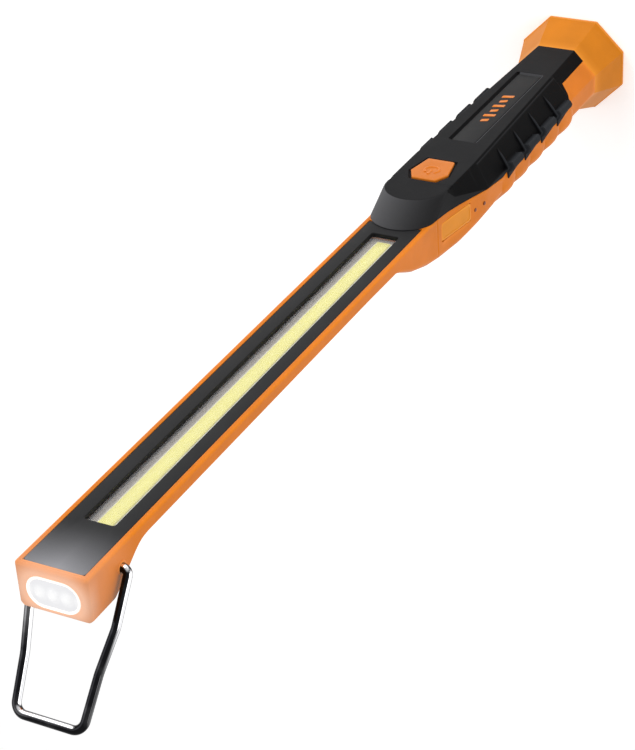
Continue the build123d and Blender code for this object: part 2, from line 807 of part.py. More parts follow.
# ---- hook: bent wire bail, its two bushes and the washers that keep it in
rest = math.radians(hook_rest_angle)
hook_plane = Plane(origin=(0, hook_pivot_y, hook_pivot_z), x_dir=(1, 0, 0),
                   z_dir=(0, -math.cos(rest), math.sin(rest)))
hook_half = [(arm_half - hook_tail, 0), (hook_leg_half, 0), (hook_leg_half, hook_leg_straight),
             (hook_neck_half, hook_neck_at), (hook_tip_half, hook_reach)]
bend_radii = [hook_shoulder_radius, hook_leg_radius, hook_neck_radius, hook_tip_radius]
with BuildPart() as hook:
    with BuildLine(hook_plane):
        FilletPolyline(*hook_half, *[(-x, s) for x, s in reversed(hook_half)],
                       radius=bend_radii + bend_radii[::-1])
    with BuildSketch(Plane(origin=(arm_half - hook_tail, hook_pivot_y, hook_pivot_z), z_dir=(1, 0, 0))):
        Circle(wire_radius)
    sweep()

with BuildPart() as hook_bushes:
    for side in (-1, 1):
        bar((side * arm_half, hook_pivot_y, hook_pivot_z), (-side, 0, 0), bush_radius, bush_length)
        bar((side * (arm_half + 1), hook_pivot_y, hook_pivot_z), (-side, 0, 0), wire_radius + running_gap,
            bush_length + 2, Mode.SUBTRACT)

with BuildPart() as hook_retainers:
    for side in (-1, 1):
        start = (side * (arm_half - bush_length - 0.3), hook_pivot_y, hook_pivot_z)
        bar(start, (-side, 0, 0), retainer_radius, retainer_thickness)
        bar(start, (-side, 0, 0), wire_radius, retainer_thickness, Mode.SUBTRACT)

save(lower_housing.part, "lower_housing")
save(handle_shell.part, "handle_shell")
save(grip_skin(-1), "grip_skin_left")
save(grip_skin(1), "grip_skin_right")
save(shell_screws.part, "shell_screws")
save(label_plate.part, "label_plate")
save(power_button.part, "power_button")
save(switch_plunger.part, "switch_plunger")
save(tact_switch.part, "tact_switch")
save(main_board.part, "main_board")
save(board_components.part, "board_components")
save(charging_socket.part, "charging_socket")
save(port_cover.part, "port_cover")
save(indicator_pipes.part, "indicator_pipes")
save(battery_cell.part, "battery_cell")
save(cell_cradle.part, "cell_cradle")
save(cell_contacts.part, "cell_contacts")
save(foot_cap.part, "foot_cap")
save(foot_pad.part, "foot_pad")
save(foot_magnet.part, "foot_magnet")
save(pole_plate.part, "pole_plate")
save(magnet_screw.part, "magnet_screw")
save(arm_panel.part, "arm_panel")
save(lamp_window.part, "lamp_window")
save(strip_reflector.part, "strip_reflector")
save(phosphor_strip.part, "phosphor_strip")
save(strip_board.part, "strip_board")
save(heat_spreader.part, "heat_spreader")
save(end_lens.part, "end_lens")
save(lens_gasket.part, "lens_gasket")
save(torch_reflector.part, "torch_reflector")
save(torch_board.part, "torch_board")
save(torch_dies.part, "torch_dies")
save(torch_wires.part, "torch_wires")
save(hook.part, "hook")
save(hook_bushes.part, "hook_bushes")
save(hook_retainers.part, "hook_retainers")
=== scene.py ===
import math
import bmesh
import bpy
import numpy as np
from mathutils import Euler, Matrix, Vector


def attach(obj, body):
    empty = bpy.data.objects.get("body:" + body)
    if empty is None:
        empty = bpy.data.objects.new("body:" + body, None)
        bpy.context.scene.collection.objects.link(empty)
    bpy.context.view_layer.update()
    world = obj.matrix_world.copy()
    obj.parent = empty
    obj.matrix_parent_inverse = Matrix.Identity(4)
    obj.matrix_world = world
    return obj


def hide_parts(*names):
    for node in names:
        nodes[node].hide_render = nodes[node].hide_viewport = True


# Slim inspection light. Upright on its foot: +Z runs from foot to lamp end, the light leaves
# towards -Y. Sizes in the dictionaries are millimetres; makeMesh turns them into metres.
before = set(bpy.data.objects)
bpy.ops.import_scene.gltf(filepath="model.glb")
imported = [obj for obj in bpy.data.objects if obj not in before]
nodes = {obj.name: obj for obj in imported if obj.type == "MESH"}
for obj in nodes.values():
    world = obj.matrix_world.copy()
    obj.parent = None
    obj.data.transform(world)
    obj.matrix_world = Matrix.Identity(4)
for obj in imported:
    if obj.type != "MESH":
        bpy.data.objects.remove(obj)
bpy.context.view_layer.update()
print("frame loaded:", len(nodes), "CAD nodes")


# surfaces on a grid

def gridMesh(name, rings, loop=True, ends="fan", mirror=False, tone=None):
    # rings is (rows, points, 3) in mm. Neighbouring rows and points are joined by quads; loop joins
    # the last point of a row to its first, ends "fan" closes both end rows, "ring" joins last row
    # to first, "open" leaves them. mirror adds the same surface with x turned over.
    rows, points = rings.shape[:2]
    index = np.arange(rows * points).reshape(rows, points)
    down = np.roll(index, -1, 0) if ends == "ring" else index[1:]
    here = index if ends == "ring" else index[:-1]
    if loop:
        corners = here, np.roll(here, -1, 1), np.roll(down, -1, 1), down
    else:
        corners = here[:, :-1], here[:, 1:], down[:, 1:], down[:, :-1]
    quads = np.stack(corners, -1).reshape(-1, 4)
    places = rings.reshape(-1, 3) / 1000
    copies = 2 if mirror else 1
    if mirror:
        quads = np.concatenate([quads, (quads + len(places))[:, ::-1]])
        places = np.concatenate([places, places * np.array([-1.0, 1.0, 1.0])])
    mesh = bpy.data.meshes.new(name)
    mesh.from_pydata(places.tolist(), [], quads.tolist())
    if tone is not None:
        # a number per point, for materials that change along the surface
        layer = mesh.attributes.new("tone", "FLOAT", "POINT")
        layer.data.foreach_set("value", np.tile(np.broadcast_to(tone, (rows, points)).ravel(), copies))
    build = bmesh.new()
    build.from_mesh(mesh)
    bmesh.ops.remove_doubles(build, verts=build.verts, dist=4e-6)
    bmesh.ops.dissolve_degenerate(build, edges=build.edges, dist=1e-6)
    bmesh.ops.holes_fill(build, edges=[e for e in build.edges if e.is_boundary])
    bmesh.ops.recalc_face_normals(build, faces=build.faces)
    bmesh.ops.triangulate(build, faces=[f for f in build.faces if len(f.verts) > 4])
    if build.calc_volume(signed=True) < 0:
        bmesh.ops.reverse_faces(build, faces=build.faces)
    build.to_mesh(mesh)
    build.free()
    return mesh


def makeMesh(name, rings, material, slot, body="body", replaced=(), crease=38, **shape):
    mesh = gridMesh(name, rings, **shape)
    mesh.polygons.foreach_set("use_smooth", [True] * len(mesh.polygons))
    mesh.set_sharp_from_angle(angle=math.radians(crease))
    piece = bpy.data.objects.new(name, mesh)
    bpy.context.scene.collection.objects.link(piece)
    mesh.materials.append(material)
    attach(piece, body)
    if replaced:
        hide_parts(*replaced)
    return piece


def carve(piece, cutters, crease=38):
    # cuts closed grids out of a finished piece, one Boolean at a time
    for rings in cutters:
        tool = bpy.data.objects.new("tool", gridMesh("tool", rings))
        bpy.context.scene.collection.objects.link(tool)
        cut = piece.modifiers.new("cut", "BOOLEAN")
        cut.operation, cut.solver, cut.object = "DIFFERENCE", "EXACT", tool
        done = piece.evaluated_get(bpy.context.evaluated_depsgraph_get())
        mesh = bpy.data.meshes.new_from_object(done)
        piece.modifiers.remove(cut)
        piece.data = mesh
        bpy.data.objects.remove(tool)
    piece.data.polygons.foreach_set("use_smooth", [True] * len(piece.data.polygons))
    piece.data.set_sharp_from_angle(angle=math.radians(crease))


def conicArc(a, corner, b, t, w):
    # ((1-t)^2 A + 2 w t (1-t) C + t^2 B) / ((1-t)^2 + 2 w t (1-t) + t^2), a round arc at w = cos(turn / 2)
    pull = 2 * w * t * (1 - t)
    return ((1 - t) ** 2 * a + pull * corner + t ** 2 * b) / ((1 - t) ** 2 + pull + t ** 2)


def roundCorners(corners, radii, steps=5, closed=True):
    # corners is (rows, corners, 3). Each corner becomes an arc that touches both of its sides at
    # radius * tan(turn / 2) from the corner, at most 0.46 of the side
    before = corners - np.roll(corners, 1, 1)
    after = np.roll(corners, -1, 1) - corners
    lengthIn = np.linalg.norm(before, axis=2) + 1e-9
    lengthOut = np.linalg.norm(after, axis=2) + 1e-9
    cosTurn = np.clip((before * after).sum(2) / (lengthIn * lengthOut), -1, 1)
    halfTurn = np.arccos(cosTurn) / 2
    reach = np.minimum(np.broadcast_to(radii, halfTurn.shape) * np.tan(np.minimum(halfTurn, 1.5)),
                       0.46 * np.minimum(lengthIn, lengthOut))
    t = np.linspace(0, 1, steps)[None, None, :, None]
    a = (corners - before / lengthIn[..., None] * reach[..., None])[:, :, None]
    b = (corners + after / lengthOut[..., None] * reach[..., None])[:, :, None]
    arcs = conicArc(a, corners[:, :, None], b, t, np.cos(halfTurn)[..., None, None])
    if not closed:
        arcs[:, 0], arcs[:, -1] = corners[:, 0, None], corners[:, -1, None]
    return arcs.reshape(corners.shape[0], -1, 3)


def fillSides(rings, steps, extra):
    # more points along the straight sides between the corner arcs that roundCorners made
    arcs = rings.reshape(len(rings), -1, steps, 3)
    start, stop = arcs[:, :, -1:], np.roll(arcs[:, :, :1], -1, 1)
    share = np.linspace(0, 1, extra + 2)[1:-1][None, None, :, None]
    return np.concatenate([arcs, start + share * (stop - start)], 2).reshape(len(rings), -1, 3)


def both(half):
    # closed outline from its +X half: the same points again with x turned over, in reverse order
    flipped = half[:, ::-1] * np.array([-1.0, 1.0, 1.0])
    return np.concatenate([half, flipped], 1)


def bend(table, soft=0.0):
    # straight pieces through (height, value) pairs, averaged over a window of soft mm
    table = np.array(table, float)
    fine = np.arange(-20, 520, 0.1)
    values = np.interp(fine, table[:, 0], table[:, 1])
    if soft:
        width = max(int(soft / 0.1 / 2), 1)
        kernel = np.convolve(np.ones(width), np.ones(width))
        values = np.convolve(np.pad(values, len(kernel), "edge"), kernel / kernel.sum(), "same")
        values = values[len(kernel):-len(kernel)]
    return lambda z: np.interp(z, fine, values)


def points3(*columns):
    # (rows, 3) from x, y, z given as arrays or numbers
    return np.stack(np.broadcast_arrays(*[np.asarray(c, float) for c in columns]), -1)


def rectRing(halfX, low, high, radius, y):
    # rounded rectangle in a plane of constant y, corners first at +X, low z
    corners = np.array([[[halfX, y, low], [halfX, y, high], [-halfX, y, high], [-halfX, y, low]]], float)
    return roundCorners(corners, radius, 6)


def rolledEdge(half, low, high, corner, front, edge, turns, way=-1):
    # quarter round from a side to the front: inset edge (1 - cos t), depth edge (1 - sin t); way 1 rolls
    # the edge of an opening instead
    rows = []
    for turn in turns:
        out = way * edge * (1 - math.cos(turn))
        rows.append(rectRing(half + out, low - out, high + out, corner + max(out, 0),
                             front + edge * (1 - math.sin(turn))))
    return rows


def stadiumReach(c, s, radius, straight):
    # from a stadium's centre to its outline in the direction (c, s): to the flat side where that is
    # met first, else to the round end
    flat = radius / np.maximum(np.abs(s), 1e-6)
    return np.where(np.abs(c) * flat < straight, flat,
                    straight * np.abs(c) + np.sqrt(np.maximum(radius ** 2 - (straight * s) ** 2, 0)))


def roundedPath(corners, radii, spacing=1.0):
    # polyline with an arc of the given radius at each inner corner, as points about `spacing` apart
    path = [np.array(corners[0], float)]
    for before, corner, after, radius in zip(corners, corners[1:], corners[2:], radii):
        before, corner, after = (np.array(p, float) for p in (before, corner, after))
        into = (corner - before) / np.linalg.norm(corner - before)
        out = (after - corner) / np.linalg.norm(after - corner)
        turn = math.acos(np.clip(into @ out, -1, 1))
        reach = radius * math.tan(turn / 2)
        t = np.linspace(0, 1, max(int(radius * turn / spacing * 3), 6))[:, None]
        path.extend(conicArc(corner - into * reach, corner, corner + out * reach, t, math.cos(turn / 2)))
    path.append(np.array(corners[-1], float))
    return np.array(path)


def tubeRings(path, radius, sides=20, side=(0, 0, 1)):
    # circle of the radius carried along a flat path; side is the plane's normal
    tangent = np.gradient(path, axis=0)
    tangent /= np.linalg.norm(tangent, axis=1)[:, None]
    flat = np.broadcast_to(np.array(side, float), path.shape)
    across = np.cross(tangent, flat)
    turn = np.linspace(0, 2 * np.pi, sides, endpoint=False)
    return (path[:, None] + radius * (np.cos(turn)[None, :, None] * across[:, None]
                                      + np.sin(turn)[None, :, None] * flat[:, None]))


# shader maths

class Wave:
    # a node socket that can be written in sums; each operator adds one Math node

    def __init__(self, shader, socket):
        self.shader, self.socket = shader, socket

    def math(self, operation, *values, first=None):
        start = self if first is None else first
        return self.shader.node("ShaderNodeMath", {"operation": operation},
                                dict(enumerate((start,) + values)))

    def larger(self, other): return self.math("MAXIMUM", other)
    def smaller(self, other): return self.math("MINIMUM", other)
    def clamp(self): return self.larger(0.0).smaller(1.0)
    def over(self, edge, soft): return ((self - edge) / soft + 0.5).clamp()
    def __rsub__(self, other): return self.math("SUBTRACT", self, first=other)


operators = {"add": "ADD", "radd": "ADD", "sub": "SUBTRACT", "mul": "MULTIPLY", "rmul": "MULTIPLY",
             "truediv": "DIVIDE", "pow": "POWER", "abs": "ABSOLUTE"}
for sign, operation in operators.items():
    setattr(Wave, f"__{sign}__", lambda self, *other, operation=operation: self.math(operation, *other))


class Shader:
    # one material with a Principled surface; node() adds any other node

    def __init__(self, name, **surface):
        self.material = bpy.data.materials.new(name)
        self.material.use_nodes = True
        self.tree = self.material.node_tree
        self.tree.nodes.clear()
        self.surface = self.tree.nodes.new("ShaderNodeBsdfPrincipled")
        self.output = self.tree.nodes.new("ShaderNodeOutputMaterial")
        self.tree.links.new(self.surface.outputs[0], self.output.inputs["Surface"])
        self.set(**surface)

    def feed(self, node, key, value):
        socket = node.inputs[key]
        if isinstance(value, Wave):
            self.tree.links.new(value.socket, socket)
        elif socket.type == "RGBA" and len(value) == 3:
            socket.default_value = (*value, 1.0)
        else:
            socket.default_value = value

    def node(self, kind, settings=None, inputs=None, output=0):
        made = self.tree.nodes.new(kind)
        for key, value in (settings or {}).items():
            setattr(made, key, value)
        for key, value in (inputs or {}).items():
            self.feed(made, key, value)
        return Wave(self, made.outputs[output])

    def set(self, **sockets):
        for socket, value in sockets.items():
            self.feed(self.surface, socket.replace("_", " "), value)

    def place(self):
        return self.node("ShaderNodeTexCoord", output="Object")

    def axes(self):
        # x, y, z of the object's own coordinates, in metres
        split = self.tree.nodes.new("ShaderNodeSeparateXYZ")
        self.feed(split, 0, self.place())
        return [Wave(self, out) for out in split.outputs]

    def noise(self, scale, detail=2.0, roughness=0.5, stretch=None):
        vector = self.place()
        if stretch:
            vector = self.node("ShaderNodeMapping", {}, {"Vector": vector, "Scale": stretch})
        return self.node("ShaderNodeTexNoise", {}, {"Vector": vector, "Scale": scale, "Detail": detail,
                                                    "Roughness": roughness})

    def tone(self):
        return self.node("ShaderNodeAttribute", {"attribute_name": "tone"}, output="Fac")

    def edgeWearAndHighlight(self, low=0.505, high=0.56):
        # 0 on flats and hollows, 1 on convex edges
        ridge = self.node("ShaderNodeNewGeometry", output="Pointiness")
        return ((ridge - low) / (high - low)).clamp()

    def mix(self, factor, first, second):
        return self.node("ShaderNodeMix", {"data_type": "RGBA"},
                         {"Factor": factor, 6: first, 7: second}, output=2)

    def bump(self, height, strength, distance):
        return self.node("ShaderNodeBump", {},
                         {"Height": height, "Strength": strength, "Distance": distance})


def screen(r, g, b):
    # a screen colour, 0 to 255, as scene-linear
    return tuple((c / 255 / 12.92) if c <= 10 else ((c / 255 + 0.055) / 1.055) ** 2.4 for c in (r, g, b))


def moulded(name, colour, roughness, grain=2600.0, depth=0.00003, shift=0.12, wearAndHighlight=None, **more):
    # injection-moulded plastic: fine spark-eroded grain, slow drift of colour and gloss, rubbed edges
    # lightened, both real wear and a painted edge highlight
    shader = Shader(name, **more)
    fine = shader.noise(grain, 3.0, 0.6)
    drift = shader.noise(34.0, 4.0, 0.6)
    smudge = shader.noise(120.0, 5.0, 0.65)
    edge = shader.edgeWearAndHighlight()
    darker, lighter = tuple(c * (1 - shift) for c in colour), tuple(min(c * (1 + shift), 1) for c in colour)
    body = shader.mix(drift.over(0.5, 0.5), darker, lighter)
    rubbedAndLit = wearAndHighlight or tuple(min(c * 1.35 + 0.01, 1) for c in colour)
    shader.set(Base_Color=shader.mix(edge * 0.6, body, rubbedAndLit),
               Roughness=(roughness - 0.05 + smudge * 0.14 - edge * 0.08).clamp(),
               Normal=shader.bump(fine, 0.35, depth))
    return shader


def dress(material, *names):
    for name in names:
        nodes[name].data.materials.clear()
        nodes[name].data.materials.append(material)


# screen colours; painted light among them: the nose's sheen, the arm face's pale sheen, the trough's lit and
# shaded tones and the ledge's shadow
finishes = {
    "orange": (202, 110, 13), "capOrange": (200, 118, 16), "buttonOrange": (195, 106, 14),
    "coverOrange": (208, 130, 34), "shell": (34, 34, 35), "nose": (90, 90, 92), "facet": (3, 3, 4),
    "pad": (38, 40, 43), "face": (30, 30, 31), "faceSheen": (140, 140, 144), "label": (26, 26, 27),
    "ledge": (34, 32, 28), "troughShaded": (112, 98, 78), "troughLit": (196, 188, 172),
}
orange = moulded("orangeShell", screen(*finishes["orange"]), 0.42, wearAndHighlight=screen(232, 134, 26),
                 Specular_IOR_Level=0.12)
capOrange = moulded("orangeCap", screen(*finishes["capOrange"]), 0.40, wearAndHighlight=screen(236, 150, 50),
                    Specular_IOR_Level=0.12).material
buttonOrange = moulded("buttonOrange", screen(*finishes["buttonOrange"]), 0.38, depth=0.00002,
                       Specular_IOR_Level=0.2).material
coverOrange = moulded("coverOrange", screen(*finishes["coverOrange"]), 0.5, grain=1800.0,
                      Specular_IOR_Level=0.15).material


def paintedGlowNearLamp(shader, reach, strength):
    # painted glow: the orange plastic is given a white emission round the end lamp, fading with distance from
    # its rim, and a fainter one over the walls of the lamp end
    x, y, z = shader.axes()
    fromLens = ((((abs(x) - 0.0049).larger(0.0)) ** 2.0 + (y - 0.0026) ** 2.0) ** 0.5 - 0.006).larger(0.0)
    near = (1.0 - fromLens / reach).clamp() ** 1.4 * ((z - 0.4735) / 0.0065).clamp()
    walls = ((z - 0.45) / 0.03).clamp() * 0.3
    shader.set(Emission_Color=shader.mix((near + walls).clamp(), (0.0, 0.0, 0.0), (0.44, 0.66, 0.68)),
               Emission_Strength=strength)


paintedGlowNearLamp(orange, 0.0085, 0.5)
orange = orange.material


def twoTone(name, dark, light, roughDark, roughLight, grain, depth, wearAndHighlight, wearAndHighlightShare):
    # black plastic or rubber: glossier and darker where tone is 0, greyer and matt where it is 1,
    # where it is 2 a painted sheen that grows from the -X side to the +X side, and where it is -1 the label
    # seat's walls with painted light and shade: lit on the -X side, in painted shadow on the +X side
    shader = moulded(name, dark, roughLight, grain=grain, depth=depth, Specular_IOR_Level=0.025)
    tone, edge = shader.tone(), shader.edgeWearAndHighlight()
    drift, smudge = shader.noise(40.0, 4.0, 0.6), shader.noise(150.0, 5.0, 0.65)
    # painted sheen: the nose's wall is lightened towards the +X side
    sheen = (tone - 1.0).clamp() * (shader.axes()[0] / 0.029 + 0.5).clamp() ** 1.4
    light = shader.mix(sheen, shader.mix(drift.over(0.5, 0.6), tuple(c * 0.85 for c in light),
                                         tuple(c * 1.12 for c in light)), screen(*finishes["nose"]))
    seat = (tone * -1.0).clamp()
    # painted light and shade on the label seat's walls: pale grey on the -X side, a near-black painted shadow
    # on the +X side
    seatWallLitAndShaded = shader.mix(((shader.axes()[0] - 0.0052) / 0.0004).clamp(), wearAndHighlight, dark)
    tone = tone.clamp()
    # convex edges lightened: rubbed wear and a painted edge highlight
    body = shader.mix(edge * wearAndHighlightShare, shader.mix(tone, dark, light), wearAndHighlight)
    shader.set(Base_Color=shader.mix(seat, body, seatWallLitAndShaded),
               Roughness=(roughDark + tone * (roughLight - roughDark) + smudge * 0.14 - 0.07).clamp())
    return shader.material


blackShell = twoTone("blackShell", screen(*finishes["facet"]), screen(*finishes["shell"]), 0.45, 0.55, 1900.0,
                     0.00005, screen(62, 62, 64), 0.05)
blackRubber = twoTone("blackRubber", screen(*finishes["facet"]), screen(*finishes["pad"]), 0.45, 0.6, 1500.0,
                      0.00005, screen(70, 71, 74), 0.25)


def frameFace():
    # satin black face with a painted sheen: pale grey towards the +Z end, strongest along the middle
    shader = moulded("blackFace", screen(*finishes["face"]), 0.5, grain=3200.0, depth=0.000006,
                     Specular_IOR_Level=0.1)
    x, _, z = shader.axes()
    hazeAndSheen = (((z - 0.45) / 0.028).clamp() ** 1.6 * (1.0 - abs(x + 0.001) / 0.04).clamp()
            + (shader.noise(60.0, 3.0) - 0.5) * 0.06).clamp()
    shader.set(Base_Color=shader.mix(hazeAndSheen, screen(*finishes["face"]), screen(*finishes["faceSheen"])))
    return shader.material


blackFace = frameFace()
labelBlack = moulded("labelBlack", screen(*finishes["label"]), 0.5, grain=1400.0, depth=0.00003,
                     Specular_IOR_Level=0.1).material
pipeBrown = moulded("pipeBrown", screen(104, 48, 18), 0.3, Specular_IOR_Level=0.3).material
dress(pipeBrown, "indicator_pipes")
innerFinishes = {
    "bushBlack": ((32, 32, 33), 0.5, {}, ("cell_cradle",)),
    "footRubber": ((28, 28, 29), 0.75, {"grain": 900.0, "depth": 0.00012}, ("foot_pad",)),
    "boardGreen": ((24, 96, 52), 0.35, {"grain": 500.0}, ("main_board",)),
    "boardWhite": ((228, 226, 218), 0.4, {"grain": 700.0}, ("strip_board", "torch_board")),
    "chipBlack": ((30, 30, 32), 0.55, {}, ("switch_plunger", "board_components")),
    "cellSleeve": ((40, 96, 150), 0.35, {"grain": 300.0}, ("battery_cell",)),
    "wireSleeve": ((190, 40, 34), 0.45, {}, ("torch_wires",)),
}
for name, (colour, roughness, more, worn) in innerFinishes.items():
    dress(moulded(name, screen(*colour), roughness, **more).material, *worn)


def metal(name, colour, roughness):
    # plated metal: fine drawn lines along one axis, patchy gloss and tint
    shader = Shader(name, Metallic=1.0)
    lines = shader.noise(1.0, 4.0, 0.7, stretch=(40.0, 900.0, 900.0))
    patch = shader.noise(60.0, 3.0)
    shader.set(Base_Color=shader.mix(patch.over(0.5, 0.6), tuple(c * 0.92 for c in colour), colour),
               Roughness=(roughness + lines * 0.08 + patch * 0.05).clamp(),
               Normal=shader.bump(lines, 0.2, 0.00001))
    return shader.material


def wireChrome():
    # polished wire with painted reflections: tone 1 paints its bright streaks, 0 paints a dark reflection
    shader = Shader("chromeWire", Metallic=1.0)
    drift, fine = shader.noise(90.0, 3.0), shader.noise(700.0, 3.0)
    lit = (shader.tone() + (drift - 0.5) * 0.2).clamp()
    shader.set(Base_Color=shader.mix(lit, (0.014, 0.014, 0.016), (0.95, 0.95, 0.97)),
               Roughness=(0.05 + fine * 0.07).clamp(), Normal=shader.bump(fine, 0.1, 0.000004))
    return shader.material


chrome = wireChrome()
metals = {
    "steelPlain": ((0.62, 0.62, 0.64), 0.28,
                   ("shell_screws", "magnet_screw", "pole_plate", "hook_retainers", "tact_switch")),
    "magnetSteel": ((0.66, 0.66, 0.68), 0.22, ("foot_magnet",)),
    "nickel": ((0.72, 0.70, 0.66), 0.25, ("cell_contacts",)),
    "socketMetal": ((0.70, 0.70, 0.72), 0.3, ("charging_socket",)),
    "aluminium": ((0.80, 0.80, 0.82), 0.35, ("heat_spreader",)),
    "cupMetal": ((0.90, 0.90, 0.92), 0.12, ("torch_reflector",)),
}
for name, (colour, roughness, worn) in metals.items():
    dress(metal(name, colour, roughness), *worn)


def clearPlastic(name, tint, roughness, alpha):
    # polished clear plastic: mostly see-through, a faint tint, fine haze
    shader = Shader(name, Base_Color=tint, IOR=1.49)
    hazeAndSheen = shader.noise(220.0, 4.0)
    shader.set(Roughness=(roughness + hazeAndSheen * 0.03).clamp(), Alpha=(alpha + hazeAndSheen * 0.03).clamp())
    return shader.material


windowClear = clearPlastic("windowClear", (0.9, 0.92, 0.95), 0.03, 0.10)
dress(windowClear, "lamp_window")
print("finishes ready")

# outlines shared by the housing, the shell and the skins

grip = {
    "front": -16.3, "back": 15.6, "backHalf": 9.8, "sideLow": 4.6, "sideTop": -4.6,
    "rear": 24.0, "shoulder": 158.0, "ribs": (74.8, 94.8, 114.8, 134.8), "half": 20.5,
    "faceRear": 9.4, "faceFore": 14.4,
}
arm = {"front": -7.8, "end": 480.0, "noseEnd": 201.5, "headStart": 420.0}

halfWidth = bend([(24, 20.5), (158, 20.5), (190, 15.6), (206, 14.8), (480, 14.8)], 6)
faceHalf = bend([(grip["rear"], grip["faceRear"]), (grip["shoulder"], grip["faceFore"]),
                 (190, grip["faceFore"])])
border = bend([(20, -11.2), (53.0, -11.2), (55, -6.8), (60.5, -2.9), (134, -2.9), (140, -1.9), (160, -4.4),
               (180, -6.4), (201.5, -7.8), (480, -7.8)])


def octagonX(z, y):
    # half width of the grip's octagon at height z and depth y (between its front and the side facet)
    share = np.clip((y - grip["front"]) / (grip["sideTop"] - grip["front"]), 0, 1)
    return faceHalf(z) + share * (halfWidth(z) - faceHalf(z))


# coloured housing: grip underside, belly, arm channel and lamp end in one skin

housing = {
    "lobeStarts": (54.0, 72.0, 90.0, 108.0, 126.0), "lobeEnd": 141.0, "lobeHeight": 1.9,
    "recess": 12.55, "recessDepth": 1.4, "recessStart": 209.5, "recessEnd": 477.75,
    "well": 7.25, "wellDepth": 5.2, "wellStart": 218.6, "wellEnd": 449.9,
    "apertureWide": 22.0, "apertureHigh": 13.0, "apertureY": 2.6, "apertureFloor": 470.4,
    "edge": 1.5, "endEdge": 1.5, "grooveAt": 199.6, "grooveDepth": 0.22,
}


def lobes(z):
    # convex finger lobes between notches: 1 - |2t - 1|^2.6, t running 0 to 1 along each lobe
    notches = np.array(housing["lobeStarts"] + (housing["lobeEnd"],))
    which = np.clip(np.searchsorted(notches, z) - 1, 0, len(notches) - 2)
    t = np.clip((z - notches[which]) / (notches[which + 1] - notches[which]), 0, 1)
    return housing["lobeHeight"] * (1 - np.abs(2 * t - 1) ** 2.6)


lowWidth = bend([(24, 20.5), (150, 20.5), (165, 19.3), (180, 17.4), (190, 16.4), (206, 14.8), (480, 14.8)], 8)
sideLow = bend([(24, 4.6), (138, 4.6), (150, 6.2), (165, 8.5), (180, 10.8), (190, 11.0), (206, 9.4),
                (222, 5.1), (237, -1.0), (240, -2.6), (243, -2.9), (446, -2.9), (464.5, 9.6), (480, 9.6)], 5)
backHalf = bend([(24, 9.8), (190, 9.8), (206, 11.0), (221.5, 11.8), (237, 12.9), (240, 13.3), (480, 13.3)], 7)
backBelly = bend([(24, 15.6), (130, 15.6), (150, 16.4), (180, 17.6), (190, 16.9), (206, 12.6), (222, 7.0),
                  (237, -0.6), (240, -1.4), (442, -1.4)], 7)
backSlope = bend([(400, -1.4), (446, -1.4), (464.5, 11.1), (490, 23.7)], 15)
backEnd = bend([(400, 14), (462, 11.6), (464.5, 11.1), (490, 11.1)], 4)


def backHead(z):
    # back of the lamp end: its slope, up to the flat of the thick end
    return np.minimum(backSlope(z), backEnd(z))


